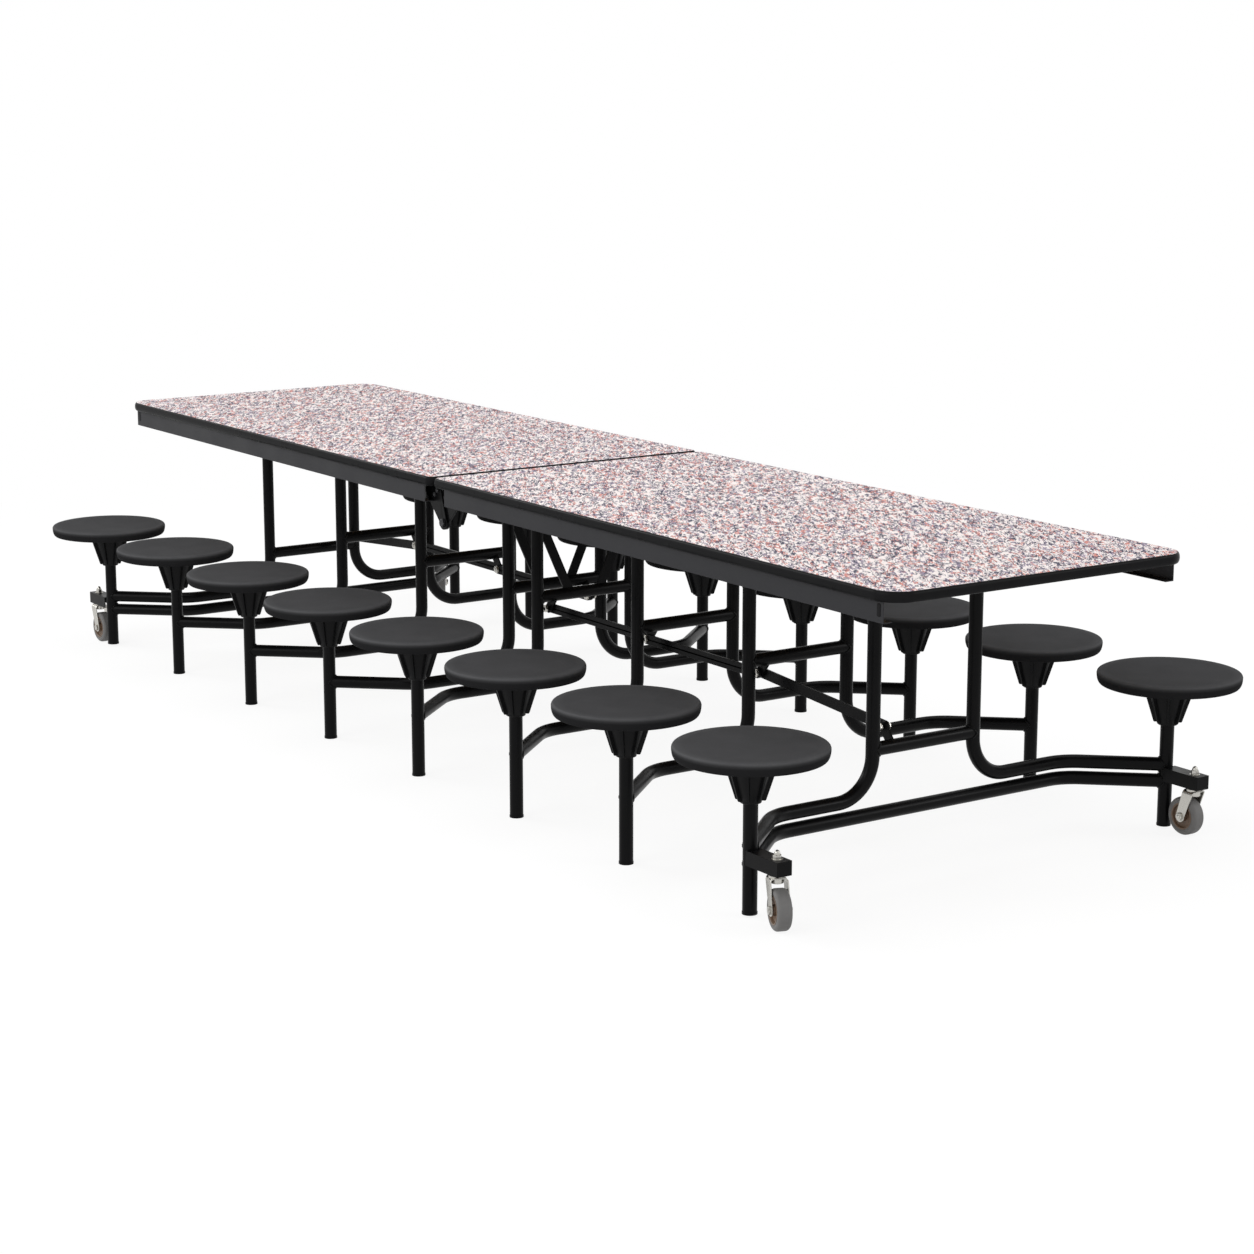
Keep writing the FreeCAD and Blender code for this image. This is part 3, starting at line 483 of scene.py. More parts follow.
def seat_plastic():
    """Moulded polypropylene with a spark-eroded grain: charcoal and matt, with painted light that makes the
    tops paler than the sides, and a painted highlight along the rim, which is also glossier, burnished
    where people slide off it."""
    material, tree, place = new_material("seat_plastic")
    relief = 0.00006
    # The painted-light mask: painted light on the tops and a painted highlight along the rims; it also sets
    # the gloss.
    worn = add(tree, "ShaderNodeAttribute", attribute_name=SEAT_LIGHT_MASK).outputs["Fac"]
    patch = add(tree, "ShaderNodeTexNoise", {"Vector": place, "Scale": per_metre(70), "Detail": 4.0})
    grain = add(tree, "ShaderNodeTexNoise", {"Vector": place, "Scale": per_metre(1.4), "Detail": 2.0})
    uneven = add(tree, "ShaderNodeMapRange", {"Value": patch, "To Min": 0.8, "To Max": 1.2})
    amount = add(tree, "ShaderNodeMath", {0: worn, 1: uneven}, operation="MULTIPLY")
    # The seat colour with its painted light and painted highlight mixed in.
    rubbed = {0: amount, 6: colours().seat, 7: colours().seat_painted_light_colour}
    shade = add(tree, "ShaderNodeMix", rubbed, data_type="RGBA")
    gloss = add(tree, "ShaderNodeMapRange", {
        "Value": worn, "From Min": TOP_PAINTED_LIGHT, "To Min": 0.5, "To Max": 0.16})
    settings = {"Base Color": shade.outputs[2], "Roughness": gloss, "Specular IOR Level": 0.002}
    return surface_of(material, settings, (grain, relief))


def hub_plastic():
    """Glass-filled nylon: black and satin, with faint flow marks."""
    return mottled("hub_plastic", colours().hub, (0.34, 0.46), 1.2, 30, 0.03, specular=0.1)


def zinc_plate():
    """Bright zinc over pressed steel: a pale metal with clouded patches."""
    return mottled("zinc_plate", colours().zinc, (0.20, 0.38), 1.5, 12, 0.01, drift=0.10, metallic=1.0)


def black_oxide():
    """Blackened steel: dark and slightly oily, with thin worn patches."""
    return mottled("black_oxide", colours().oxide, (0.34, 0.50), 1.0, 8, 0.01, metallic=0.85)


def grey_tyre():
    """Non-marking thermoplastic rubber: mid grey and matt, with a little dust."""
    return mottled("grey_tyre", colours().tyre, (0.55, 0.70), 1.8, 20, 0.05, drift=0.12)


def core_nylon():
    """Bronze-brown moulded nylon: satin."""
    return mottled("core_nylon", colours().core, (0.35, 0.50), 1.5, 15, 0.03, drift=0.2)


def particle_board():
    """Sanded particle board: pressed chips of several browns, a few millimetres each."""
    material, tree, place = new_material("particle_board")
    relief = 0.0002
    chips = add(tree, "ShaderNodeTexVoronoi", {"Vector": place, "Scale": per_metre(6)})
    shade = add(tree, "ShaderNodeSeparateColor", {"Color": chips.outputs["Color"]})
    board = colours().board
    dark = opaque(c * 0.6 for c in board[:3])
    tint = add(tree, "ShaderNodeMix", {0: shade, 6: dark, 7: board}, data_type="RGBA")
    settings = {"Base Color": tint.outputs[2], "Roughness": 0.8}
    return surface_of(material, settings, (shade.outputs[1], relief))


FINISHES = {}


def finish(recipe):
    """The material that a recipe makes, made once."""
    if recipe.__name__ not in FINISHES:
        FINISHES[recipe.__name__] = recipe()
    return FINISHES[recipe.__name__]


NODE_FINISHES = {
    "laminate": laminate_print,
    "board": particle_board,
    "edge_band": vinyl_band,
    "aprons": charcoal_powder_coat,
    "pivot_pins": zinc_plate,
    "hinge_bolts": black_oxide,
    "seats": seat_plastic,
    "fork": zinc_plate,
    "tyre": grey_tyre,
    "core": core_nylon,
}


def node_finish(node):
    """A node's finish by the words of its name, or black paint."""
    for words, recipe in NODE_FINISHES.items():
        if words in node:
            return finish(recipe)
    return finish(black_powder_coat)


# Places that the frame gives

def post_places(half, number):
    """The two stool posts of a leg frame, on the floor."""
    low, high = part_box(f"{half}_posts_{number}")
    radius = (high.x - low.x) / 2
    return [np.array([low.x + radius, y, 0.0]) for y in (low.y + radius, high.y - radius)]


def joint_place(name):
    """Where a joint of the frame stands at rest."""
    return np.array(JOINTS[name]["pos_m"])


def legs_x(number):
    """Where the legs of a right-hand frame stand along the table."""
    return joint_place(f"right_frame_{number}_pivot")[0]


SHEET_METAL = ("aprons", "pivot_rails", "hinge_plates", "caster_arms", "link_")


def break_edges(node):
    """Rounds a sheet metal part's edges a little, as paint and shearing leave them."""
    weld = node.modifiers.new("weld", "WELD")
    weld.merge_threshold = 1e-5
    rounding = node.modifiers.new("edges", "BEVEL")
    rounding.limit_method = "ANGLE"
    rounding.angle_limit = math.radians(50)
    rounding.width = sizes().sheet_round
    rounding.segments = 2
    rounding.harden_normals = True


def on_tops(name, shapes, recipe):
    """One piece on each top, of shapes made for the right half."""
    for half in HALVES:
        make_piece(f"{half}_{name}", [turned(shape, half) for shape in shapes], recipe,
                   f"{half}_top")


def on_frames(name, shapes_of, recipe):
    """One piece on each leg frame, of the shapes that a function gives for a right-hand frame's number."""
    for half, number in LEG_FRAMES:
        shapes = [turned(shape, half) for shape in shapes_of(number)]
        make_piece(f"{half}_{name}_{number}", shapes, recipe, f"{half}_frame_{number}")


class TABLE_OT_finishes(bpy.types.Operator):
    """Gives every part of the frame its finish"""

    bl_idname = "table.finishes"
    bl_label = "Finishes"

    def execute(self, context):
        for name, node in frame["nodes"].items():
            node.data.materials.clear()
            node.data.materials.append(node_finish(name))
            if any(words in name for words in SHEET_METAL):
                break_edges(node)
        return {"FINISHED"}


# Edge bands

def rounded_outline(low, high, radii, steps):
    """A rectangle with rounded corners, anticlockwise from its lower right corner: each corner's points
    are its centre plus radius x (cos a, sin a) over a quarter turn. Gives the points and their outward
    directions."""
    quarters = np.radians(np.arange(4)[:, None] * 90 - 90 + np.linspace(0, 90, steps))
    outward = np.stack([np.cos(quarters), np.sin(quarters)], axis=-1)
    radii = np.array(radii)[:, None]
    corners = np.array([(high.x, low.y), (high.x, high.y), (low.x, high.y), (low.x, low.y)])
    inward = np.array([(-1, 1), (-1, -1), (1, -1), (1, 1)])
    points = (corners + inward * radii)[:, None] + radii[:, :, None] * outward
    return points.reshape(-1, 2), outward.reshape(-1, 2)


def band_shell(low, high, radii):
    """An edge band: its section is half a superellipse, out = thickness x (1 - |t|^p)^(1/p) over the
    height, carried round a rounded outline."""
    s = sizes()
    power = 2.1
    edge, outward = rounded_outline(low, high, radii, steps=16)
    rise = np.sin(np.linspace(-np.pi / 2, np.pi / 2, 21))
    out = s.band_thick * ((1 - np.abs(rise) ** power) ** (1 / power) - 1)
    level = (high.z + low.z) / 2 + rise * (high.z - low.z) / 2
    side = edge[:, None] + outward[:, None] * out[:, None]
    points = np.concatenate([side, level[None, :, None] + 0 * side[:, :, :1]], axis=-1)
    return Surface(points, True)


class TABLE_OT_edge_bands(bpy.types.Operator):
    """Makes the rounded vinyl bands round the two tops"""

    bl_idname = "table.edge_bands"
    bl_label = "Edge Bands"

    def execute(self, context):
        s = sizes()
        corners = (s.corner_end, s.corner_end, s.corner_centre, s.corner_centre)
        for half, radii in (("right", corners), ("left", corners[::-1])):
            node = f"{half}_edge_band"
            low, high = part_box(node)
            band = band_shell(low, high, radii)
            make_piece(f"{half}_band", [band], vinyl_band, f"{half}_top", [node])
        return {"FINISHED"}


# Stools

def seat_shell(edge):
    """A seat about its own axis, top at zero: a shallow dish, an elliptic shoulder, a rim that turns under,
    and a hollow underside with a boss in its middle, all one profile carried round."""
    s = sizes()
    flat, foot = edge - s.seat_shoulder, -s.seat_thick
    run = np.linspace(0.0, flat, 9)
    dish = np.stack([run, -s.seat_dish * (1 - (run / flat) ** 2) ** 2], axis=-1)
    shoulder = quarter((flat, -s.seat_drop), (s.seat_shoulder, s.seat_drop), 90, 10)
    curl = quarter((edge - s.seat_curl, -s.seat_drop), (s.seat_curl, s.seat_thick - s.seat_drop), 0, 7)
    wall, roof, boss = edge - s.seat_curl - s.seat_wall, -s.seat_dish - s.seat_skin, s.hub_top / 2
    fillet = 0.004
    inside = quarter((wall - fillet, roof - fillet), (fillet, fillet), 0, 5, -1)
    under = [(wall, foot), *inside, (boss + fillet, roof), (boss, roof - fillet), (boss, foot), (0.0, foot)]
    return lathe(np.concatenate([dish, shoulder[1:], curl[1:], under]), steps=72)


def seat_rib(angle, near, far):
    """A rib of the seat's underside: a tapered rectangle drawn out along a radius."""
    s = sizes()
    along = np.array([math.cos(angle), math.sin(angle), 0.0])
    across = np.cross(UP, along)
    roof, edge, thick, thin = -s.seat_dish - s.seat_skin, -s.seat_thick + 0.003, 0.0022, 0.0012
    corners = [(-thick, roof), (thick, roof), (thin, edge), (-thin, edge)]
    sections = [[along * reach + across * side + UP * level for side, level in corners]
                for reach in (near, far)]
    return prism(sections)


def hub_shell(depth):
    """A ribbed cone below a seat's underside: radius = cone + rib depth x pulse(angle), with a collar and a
    bore for the post, as one closed grid."""
    s = sizes()
    chamfer, clearance = 0.001, 0.0002
    offsets = np.array([-9.0, -4.8, -3.5, -2.8, 2.8, 3.5, 4.8, 9.0, 22.5])
    pulse = np.tile([0.0, 0.0, 0.5, 1.0, 1.0, 0.5, 0.0, 0.0, 0.0], s.hub_ribs)
    middles = np.arange(s.hub_ribs) * 360 / s.hub_ribs
    angle = np.radians(middles[:, None] + offsets).ravel()
    cone = depth - s.hub_collar
    down = cone * np.array([0.0, 0.33, 0.66, 0.97, 1.0])
    outer = s.hub_top / 2 + (s.hub_foot - s.hub_top) / 2 * down / cone
    outer[-1] -= chamfer
    inner = outer - s.hub_rib
    waist, bore = inner[-1], s.tube / 2 + clearance
    ribbed = inner[:, None] + s.hub_rib * pulse
    plain = np.array([waist, waist, waist - chamfer, bore, bore])[:, None] + 0 * angle
    radius = np.concatenate([ribbed, plain])
    level = -np.concatenate([down, [cone, depth - chamfer, depth, depth, 0.0]])[:, None]
    return Surface(round_z(radius, angle, level), True)


def paint_seat_light(piece, posts, edge, top):
    """Marks how much painted light each point of the seats gets: painted light on the tops, a share that
    grows with height over the shoulder, and a painted highlight along the rim, exp(-(d / w)^2) of its
    distance d from the shoulder's middle. The same mark sets the seats' gloss."""
    s = sizes()
    width, highlight_share, inset = 0.005, 0.22, 0.35
    mesh = piece.data
    points = np.empty(len(mesh.vertices) * 3)
    mesh.vertices.foreach_get("co", points)
    points = points.reshape(-1, 3)
    out = np.min([np.linalg.norm(points[:, :2] - post[:2], axis=1) for post in posts], axis=0)
    away = np.hypot(out - edge + s.seat_shoulder * inset, points[:, 2] - top + s.seat_drop * inset)
    height = np.clip(1 - (top - points[:, 2] - s.seat_dish) / s.seat_drop, 0, 1)
    # Painted light on the tops, and a painted highlight along the rim.
    worn = mesh.attributes.new(SEAT_LIGHT_MASK, "FLOAT", "POINT")
    worn.data.foreach_set("value", TOP_PAINTED_LIGHT * height + highlight_share * np.exp(-(away / width) ** 2))


class TABLE_OT_seats(bpy.types.Operator):
    """Makes the moulded seats with their ribbed undersides"""

    bl_idname = "table.seats"
    bl_label = "Seats"

    def execute(self, context):
        s = sizes()
        boss_lap, wall_lap = 0.002, 0.001
        for half, number in LEG_FRAMES:
            node = f"{half}_seats_{number}"
            low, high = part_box(node)
            edge = (high.x - low.x) / 2
            near, far = s.hub_top / 2 - boss_lap, edge - s.seat_curl - s.seat_wall + wall_lap
            ribs = [seat_rib(angle, near, far) for angle in full_turn(s.seat_ribs)]
            posts = post_places(half, number)
            surfaces = [moved(shape, post + UP * high.z) for post in posts
                        for shape in [seat_shell(edge), *ribs]]
            seats = make_piece(f"{half}_seat_shells_{number}", surfaces, seat_plastic,
                               f"{half}_frame_{number}", [node])
            # Painted light and highlight for the seats' colour.
            paint_seat_light(seats, posts, edge, high.z)
        return {"FINISHED"}


class TABLE_OT_hubs(bpy.types.Operator):
    """Makes the ribbed hubs that carry the seats on their posts"""

    bl_idname = "table.hubs"
    bl_label = "Hubs"

    def execute(self, context):
        for half, number in LEG_FRAMES:
            low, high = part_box(f"{half}_seats_{number}")
            underside = high.z - sizes().seat_thick
            hub = hub_shell(underside - low.z)
            surfaces = [moved(hub, post + UP * underside) for post in post_places(half, number)]
            make_piece(f"{half}_hubs_{number}", surfaces, hub_plastic, f"{half}_frame_{number}")
        return {"FINISHED"}


# Welds and fasteners

def cope_bead(place, direction):
    """A weld bead round a level tube where it meets an upright one of its size: at each angle round the
    level tube it lies radius x |cos| out along it, softened at the sides."""
    s = sizes()
    radius, soft, steps = s.tube / 2, 0.15, 60
    angle = full_turn(steps)[:, None]
    out = direction * np.sqrt(np.cos(angle) ** 2 + soft ** 2)
    path = place + radius * (out + np.cross(UP, direction) * np.sin(angle) + UP * np.cos(angle))
    return bead(path, place + direction * radius, s.bead, s.bead_pitch)


def frame_welds(number):
    """The weld beads of a right-hand leg frame: arms and tie to posts, crossbar to legs."""
    s = sizes()
    beads = []
    bar = s.end_bar_height if number == END_FRAME else s.bar_height
    levels = [s.arm_height, s.tie_height] if number == END_FRAME else [s.arm_height]
    for post, sign in zip(post_places("right", number), SIDES.values()):
        knee = np.array([legs_x(number), sign * s.knee_spread, 0.0])
        beads += [cope_bead(post + UP * level, unit(knee - post)) for level in levels]
        leg = np.array([legs_x(number), sign * s.leg_spread, bar])
        beads.append(cope_bead(leg, np.array([0.0, -sign, 0.0])))
    return beads


class TABLE_OT_welds(bpy.types.Operator):
    """Lays the painted weld beads of the leg frames"""

    bl_idname = "table.welds"
    bl_label = "Welds"

    def execute(self, context):
        on_frames("welds", frame_welds, black_powder_coat)
        return {"FINISHED"}


def across_y(middle, grip, flats, height):
    """A bolt head and a nut at the two ends of a bolt along Y."""
    reach = np.array([0.0, grip, 0.0])
    return [aimed(bolt_head(flats, height), middle - reach, (0, -1, 0)),
            aimed(plain_nut(flats, height), middle + reach, (0, 1, 0))]


def link_bolt(number):
    """The head and nut of a right-hand frame's link bolt."""
    s = sizes()
    x, y, level = joint_place("right_link_12_pivot")
    back = legs_x(2) - x
    if number == END_FRAME:
        level = joint_place("right_link_34_pivot")[2]
    middle = np.array([legs_x(number) - back, y, level])
    return across_y(middle, s.link_grip, s.nut_flats, s.nut_height)


class TABLE_OT_link_bolts(bpy.types.Operator):
    """Adds the bright heads and nuts of the link bolts"""

    bl_idname = "table.link_bolts"
    bl_label = "Link Bolts"

    def execute(self, context):
        on_frames("link_bolt", link_bolt, zinc_plate)
        return {"FINISHED"}


class TABLE_OT_pivot_bolts(bpy.types.Operator):
    """Adds the heads and nuts of the leg pivots under the tops"""

    bl_idname = "table.pivot_bolts"
    bl_label = "Pivot Bolts"

    def execute(self, context):
        s = sizes()
        shapes = []
        for number in FRAMES:
            x, _, z = joint_place(f"right_frame_{number}_pivot")
            for sign in SIDES.values():
                middle = np.array([x, sign * s.leg_spread, z])
                shapes += across_y(middle, s.pin_grip, s.nut_flats, s.nut_height)
        on_tops("pivot_bolts", shapes, zinc_plate)
        return {"FINISHED"}


def pan_screw():
    """A domed screw head with a recess in its middle, one profile carried round Z."""
    radius, height, socket = 0.0048, 0.0032, 0.0016
    dome = quarter((0.0, 0.0), (radius, height), 0, 7, -1)[:-1]
    recess = [(socket, height * 0.95), (socket * 0.6, height * 0.45), (0.0, height * 0.4)]
    return lathe(np.concatenate([[(0.0, 0.0)], dome, recess]), steps=20)


class TABLE_OT_hinge_bolts(bpy.types.Operator):
    """Adds the centre hinge's heads and nuts, and the bolts that hold its plates"""

    bl_idname = "table.hinge_bolts"
    bl_label = "Hinge Bolts"

    def execute(self, context):
        s = sizes()
        grip, head_height = s.hinge_plate / 2, s.plate_flats * 0.45
        _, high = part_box("hinge_bolts")
        level, reach = joint_place("centre_hinge")[2], high.y - s.hinge_grip - s.pin_head
        shapes = []
        for sign in SIDES.values():
            middle = np.array([0.0, sign * reach, level])
            shapes += across_y(middle, s.hinge_grip, s.hinge_flats, s.nut_height)
        make_piece("hinge_bolt_heads", shapes, black_oxide, "left_top")
        for half, turn in HALVES.items():
            low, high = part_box(f"{half}_hinge_plates")
            bolts = []
            for x, drop in PLATE_BOLTS:
                for y in (low.y + grip, high.y - grip):
                    middle = np.array([x * turn[0], y, high.z - drop])
                    bolts += across_y(middle, grip, s.plate_flats, head_height)
            make_piece(f"{half}_plate_bolts", bolts, black_oxide, f"{half}_top")
        return {"FINISHED"}


def shade_plug(middle, outward):
    """A flat dark plug with rounded corners that fills a slot in an upright sheet and stands in for the
    shade inside the slot: its outline, drawn out along Y by what stands proud, and drawn in a little at its
    face."""
    width, height, corner, proud, chamfer = 0.011, 0.028, 0.003, 0.0012, 0.0006
    reach = Vector((width / 2, height / 2))
    outline, aside = rounded_outline(-reach, reach, [corner] * 4, steps=6)
    rows = [(0.0, 0.0), (0.0, proud - chamfer), (chamfer, proud)]
    sections = [np.insert(outline - aside * inset, 1, outward * out, axis=1) for inset, out in rows]
    return moved(prism(sections), middle)


class TABLE_OT_slot_plugs(bpy.types.Operator):
    """Adds dark plugs that stand in for the shade inside the slots near the side channels' outer ends"""

    bl_idname = "table.slot_plugs"
    bl_label = "Slot Plugs"

    def execute(self, context):
        end_gap, drop = 0.014, 0.022
        low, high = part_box("right_aprons")
        x, level = high.x - end_gap, high.z - drop
        plugs = [shade_plug((x, face, level), outward) for face, outward in ((low.y, -1), (high.y, 1))]
        # Black plastic, as painted shade inside the slots.
        on_tops("slot_plugs", plugs, hub_plastic)
        return {"FINISHED"}


class TABLE_OT_rail_screws(bpy.types.Operator):
    """Adds the screws that hold the pivot rails under the tops"""

    bl_idname = "table.rail_screws"
    bl_label = "Rail Screws"

    def execute(self, context):
        s = sizes()
        reaches = (0.055, 0.225, 0.335)
        _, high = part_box("right_pivot_rails")
        level = high.z - s.rail_height
        shapes = []
        for number in FRAMES:
            x = legs_x(number) - s.rail_back
            for reach in reaches:
                for sign in SIDES.values():
                    shapes.append(aimed(pan_screw(), (x, sign * reach, level), -UP))
        on_tops("rail_screws", shapes, black_oxide)
        return {"FINISHED"}


# Casters

def fork_strip(level, trail):
    """A pressed fork about its stem, trailing along +X: a strip with broken edges carried along an upturned
    U. Its middle leans from the stem to the axle, and its half width follows a circle round the axle."""
    s = sizes()
    middle, crown = (s.fork_span - s.fork_wall) / 2, s.fork_top - s.fork_wall / 2
    bend, chamfer, bulge = 0.008, 0.0007, 0.0035
    swing = np.linspace(0, np.pi / 2, 10)
    foot = np.stack([0 * swing - middle, level - s.fork_foot * np.cos(swing)], axis=-1)
    climb = np.linspace(level, crown - bend, 8)[1:]
    cheek = np.stack([0 * climb - middle, climb], axis=-1)
    corner = quarter((bend - middle, crown - bend), (bend, bend), 180, 8)[1:]
    flat = np.linspace(bend - middle, 0.0, 5)[1:]
    roof = np.stack([flat, 0 * flat + crown], axis=-1)
    side = np.concatenate([foot, cheek, corner, roof])
    path = np.concatenate([side, side[-2::-1] * [-1, 1]])
    y, z = path.T
    tangent = unit(np.gradient(path, axis=0))
    share = np.clip((z - level) / (crown - level), 0, 1)
    belly = bulge * (1 - (y / middle) ** 2)
    width = s.fork_foot + (s.fork_shoulder - s.fork_foot) * share + belly
    drop = np.clip(level - z, 0, s.fork_foot)
    width = np.where(z < level, np.sqrt(s.fork_foot ** 2 - drop ** 2), width)
    inset = np.maximum(width - chamfer, 0)
    wall = s.fork_wall / 2
    edge = wall - chamfer
    run = np.stack([-width, -inset, inset, width, width, inset, -inset, -width], axis=-1)
    rise = np.array([-edge, -wall, -wall, -edge, edge, wall, wall, edge])
    x = trail * (1 - share)[:, None] + run
    y = y[:, None] - tangent[:, 1:] * rise
    z = z[:, None] + tangent[:, :1] * rise
    return Surface(np.stack([x, y, z], axis=-1), False)


def swivel_race(top):
    """The drum under the crown, the ball race on it and the stem's housing above, one profile carried
    round."""
    s = sizes()
    drum, race, lip, head = 0.0145, 0.018, 0.001, 0.012
    drum_height, race_rise = 0.011, 0.0034
    low, high = s.fork_top - s.fork_wall, s.fork_top + race_rise
    foot = low - drum_height
    profile = [
        (0, foot), (drum - lip, foot), (drum, foot + lip), (drum, low),
        (race - lip, low), (race, low + lip), (race, high - lip), (race - lip, high),
        (head, high), (head, top), (0, top),
    ]
    return lathe(profile, steps=40)


def tyre_shell(radius):
    """A tyre about Z: a slightly crowned tread, elliptic shoulders and flat walls down to the core."""
    s = sizes()
    half, shoulder, crown, step = s.wheel_width / 2, 0.008, 0.0006, 0.0008
    seat, wall = s.core_radius + 0.003, s.core_radius + 0.004
    flat = np.linspace(half - shoulder, shoulder - half, 9)
    tread = np.stack([radius - crown * (flat / half) ** 2, flat], axis=-1)
    edge = tread[0, 0]
    upper = quarter((edge - shoulder, half - shoulder), (shoulder, shoulder), 90, 8)
    inner = [(s.core_radius, half - step), (seat, half - step), (wall, half)]
    top = np.concatenate([inner, upper[:-1]])
    profile = np.concatenate([top, tread, top[::-1] * [1, -1]])
    return lathe(profile, steps=72)._replace(looped=True)


def core_shell():
    """A wheel core about Z: a rim, a dished web and a hub on each side, one profile carried round."""
    s = sizes()
    rim, half = s.core_radius, s.wheel_width / 2
    hub, web, face = 0.0105, half * 0.5, half + 0.0008
    side = np.array([
        (0.0, face), (hub, face), (hub + 0.001, half), (hub + 0.002, half * 0.55), (hub + 0.0045, web),
        (rim - 0.008, web), (rim - 0.005, half * 0.6), (rim - 0.004, half - 0.001), (rim - 0.003, half),
        (rim, half),
    ])
    return lathe(np.concatenate([side, side[::-1] * [1, -1]]), steps=60)


def about_stem(surface, place):
    """A caster's surface turned to its trail and moved to its stem."""
    stem = joint_place(f"{place}_swivel")
    x, y = unit((joint_place(f"{place}_spin") - stem)[:2])
    turn = np.array([[x, y, 0], [-y, x, 0], [0, 0, 1]])
    return surface._replace(points=surface.points @ turn + stem * [1, 1, 0])


class TABLE_OT_forks(bpy.types.Operator):
    """Makes the zinc forks of the casters with their races, axles and dome nuts"""

    bl_idname = "table.forks"
    bl_label = "Caster Forks"

    def execute(self, context):
        s = sizes()
        axle_flats, axle_height = s.nut_flats * 0.95, s.nut_height * 0.85
        for place in CASTERS:
            axle = joint_place(f"{place}_spin")
            trail = np.linalg.norm((axle - joint_place(f"{place}_swivel"))[:2])
            middle = np.array([trail, 0.0, axle[2]])
            shapes = [fork_strip(axle[2], trail), swivel_race(s.arm_top),
                      moved(dome_nut(s.dome_flats, s.dome_height), UP * s.arm_top)]
            shapes += across_y(middle, s.fork_span / 2, axle_flats, axle_height)
            make_piece(f"{place}_fork", [about_stem(shape, place) for shape in shapes], zinc_plate,
                       f"{place}_caster", [f"{place}_caster_fork"])
        return {"FINISHED"}


class TABLE_OT_wheels(bpy.types.Operator):
    """Makes the casters' tyres and wheel cores"""

    bl_idname = "table.wheels"
    bl_label = "Caster Wheels"

    def execute(self, context):
        for place in CASTERS:
            spin, body = f"{place}_spin", f"{place}_wheel"
            axle, axis = joint_place(spin), JOINTS[spin]["axis"]
            tyre, core = [aimed(shell, axle, axis) for shell in (tyre_shell(axle[2]), core_shell())]
            make_piece(f"{place}_tyre", [tyre], grey_tyre, body, [f"{place}_caster_tyre"])
            make_piece(f"{place}_core", [core], core_nylon, body,
                       [f"{place}_caster_core"])
        return {"FINISHED"}


# Stage

WHITE = opaque([1.0] * 3)


def seen_ray(tree):
    """One for camera, glossy and transmitted rays, which see the white surroundings."""
    path = add(tree, "ShaderNodeLightPath").outputs
    direct = {0: path["Is Camera Ray"], 1: path["Is Glossy Ray"]}
    first = add(tree, "ShaderNodeMath", direct, operation="MAXIMUM")
    return add(tree, "ShaderNodeMath", {0: first, 1: path["Is Transmission Ray"]}, operation="MAXIMUM")


def add_floor():
    """A wide white floor that glows for the camera, and takes soft shadows round the table."""
    reach, bounce, glow, catch, near, far = 80.0, 0.8, 0.885, 0.165, 2.2, 4.2
    material, tree, place = new_material("studio_floor")
    plain = add(tree, "ShaderNodeBsdfDiffuse", {"Color": opaque([bounce] * 3)})
    glowing = add(tree, "ShaderNodeEmission", {"Color": WHITE, "Strength": glow})
    shadow = add(tree, "ShaderNodeBsdfDiffuse", {"Color": opaque([catch] * 3)})
    lit = add(tree, "ShaderNodeAddShader", {0: glowing, 1: shadow})
    pure = add(tree, "ShaderNodeEmission", {"Color": WHITE, "Strength": 1.0})
    away = add(tree, "ShaderNodeVectorMath", {0: place}, operation="LENGTH")
    span = {"Value": away.outputs["Value"], "From Min": near, "From Max": far}
    fade = add(tree, "ShaderNodeMapRange", span, interpolation_type="SMOOTHSTEP")
    seen = add(tree, "ShaderNodeMixShader", {0: fade, 1: lit, 2: pure})
    both = add(tree, "ShaderNodeMixShader", {0: seen_ray(tree), 1: plain, 2: seen})
    add(tree, "ShaderNodeOutputMaterial", {"Surface": both})
    mesh = bpy.data.meshes.new("floor")
    corners = [(-reach, -reach, 0), (reach, -reach, 0), (reach, reach, 0), (-reach, reach, 0)]
    mesh.from_pydata(corners, [], [(0, 1, 2, 3)])
    mesh.materials.append(material)
    new_object("floor", mesh)


def add_lights():
    """A large softbox overhead, one beside the camera, and a strip at each side for the highlights on
    edges, all aimed at the table."""
    target = np.array([0.4, 0.0, 0.4])
    # Each softbox: place, spread, and power in watts.
    softboxes = {
        "overhead": ((0.0, 0.0, 5.0), (6.0, 4.0), 66),
        "beside": ((1.0, -6.5, 3.5), (4.0, 3.0), 110),
        "left_strip": ((-10.0, -5.6, 6.0), (6.0, 1.6), 380),
        "right_strip": ((9.5, 8.5, 6.2), (6.0, 1.6), 260),
    }
    for name, (place, spread, power) in softboxes.items():
        lamp = bpy.data.lights.new(name, "AREA")
        lamp.shape = "RECTANGLE"
        lamp.size, lamp.size_y = spread
        lamp.energy = power
        light = new_object(name, lamp)
        light.matrix_world = Matrix.Translation(place) @ look_along(target - np.array(place))


def look_along(direction):
    """A turn that points -Z along a direction and keeps X level."""
    back = -unit(direction)
    right = unit(np.cross(UP, back))
    return Matrix(np.array([right, np.cross(back, right), back]).T.tolist()).to_4x4()


def add_surroundings(scene):
    """White for the eye, and an even soft light of moderate strength."""
    fill_light = 0.5
    world = bpy.data.worlds.new("studio")
    world.use_nodes = True
    tree = world.node_tree
    tree.nodes.clear()
    fill = add(tree, "ShaderNodeBackground", {"Color": WHITE, "Strength": fill_light})
    white = add(tree, "ShaderNodeBackground", {"Color": WHITE, "Strength": 1.0})
    both = add(tree, "ShaderNodeMixShader", {0: seen_ray(tree), 1: fill, 2: white})
    add(tree, "ShaderNodeOutputWorld", {"Surface": both})
    scene.world = world


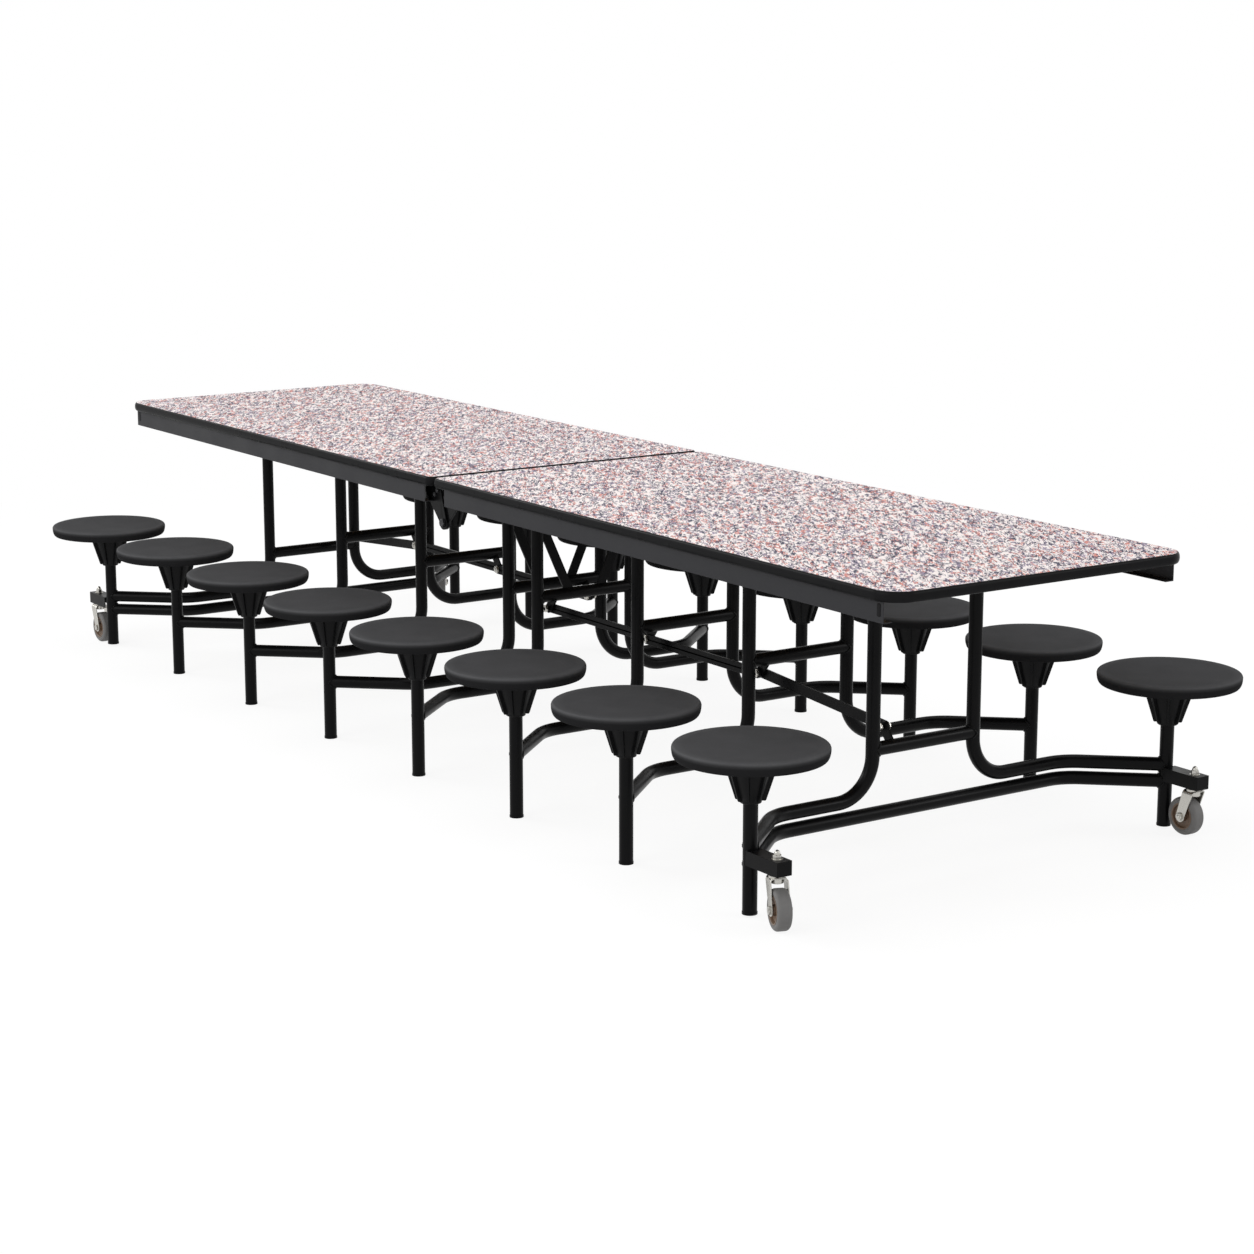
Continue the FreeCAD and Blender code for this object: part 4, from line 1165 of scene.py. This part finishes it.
def add_camera(scene):
    """The camera that was fitted to the picture."""
    photo = scene.table_photo
    lens = bpy.data.cameras.new("camera")
    lens.sensor_width = 36.0
    lens.lens = photo.focal * lens.sensor_width
    lens.clip_end = 200.0
    camera = new_object("camera", lens)
    turn = Matrix.Rotation(photo.azimuth, 4, "Z")
    tilt = Matrix.Rotation(math.pi / 2 - photo.elevation, 4, "X")
    camera.matrix_world = Matrix.Translation(photo.place) @ turn @ tilt
    scene.camera = camera


class TABLE_OT_stage(bpy.types.Operator):
    """Adds the floor, the soft lights, the white surroundings and the camera"""

    bl_idname = "table.stage"
    bl_label = "Stage"

    def execute(self, context):
        add_floor()
        add_lights()
        add_surroundings(context.scene)
        add_camera(context.scene)
        context.scene.view_settings.view_transform = "Standard"
        return {"FINISHED"}


PIECES = (
    TABLE_OT_finishes,
    TABLE_OT_edge_bands,
    TABLE_OT_seats,
    TABLE_OT_hubs,
    TABLE_OT_welds,
    TABLE_OT_link_bolts,
    TABLE_OT_pivot_bolts,
    TABLE_OT_hinge_bolts,
    TABLE_OT_slot_plugs,
    TABLE_OT_rail_screws,
    TABLE_OT_forks,
    TABLE_OT_wheels,
    TABLE_OT_stage,
)


class TABLE_PT_pieces(bpy.types.Panel):
    """Lists the steps that dress the table"""

    bl_label = "Cafeteria Table"
    bl_space_type = "VIEW_3D"
    bl_region_type = "UI"
    bl_category = "Table"

    def draw(self, context):
        for step in PIECES:
            self.layout.operator(step.bl_idname)


CLASSES = (TableColours, TableSizes, TablePhoto) + PIECES + (TABLE_PT_pieces,)


def register():
    """Registers the classes and the scene's settings."""
    for item in CLASSES:
        bpy.utils.register_class(item)
    bpy.types.Scene.table_colours = PointerProperty(type=TableColours)
    bpy.types.Scene.table_sizes = PointerProperty(type=TableSizes)
    bpy.types.Scene.table_photo = PointerProperty(type=TablePhoto)


def unregister():
    """Removes what register added."""
    del bpy.types.Scene.table_photo
    del bpy.types.Scene.table_sizes
    del bpy.types.Scene.table_colours
    for item in reversed(CLASSES):
        bpy.utils.unregister_class(item)


def main():
    """Dresses the table and sets its stage."""
    register()
    for step in PIECES:
        group, name = step.bl_idname.split(".")
        getattr(getattr(bpy.ops, group), name)()


if __name__ == "__main__":
    main()
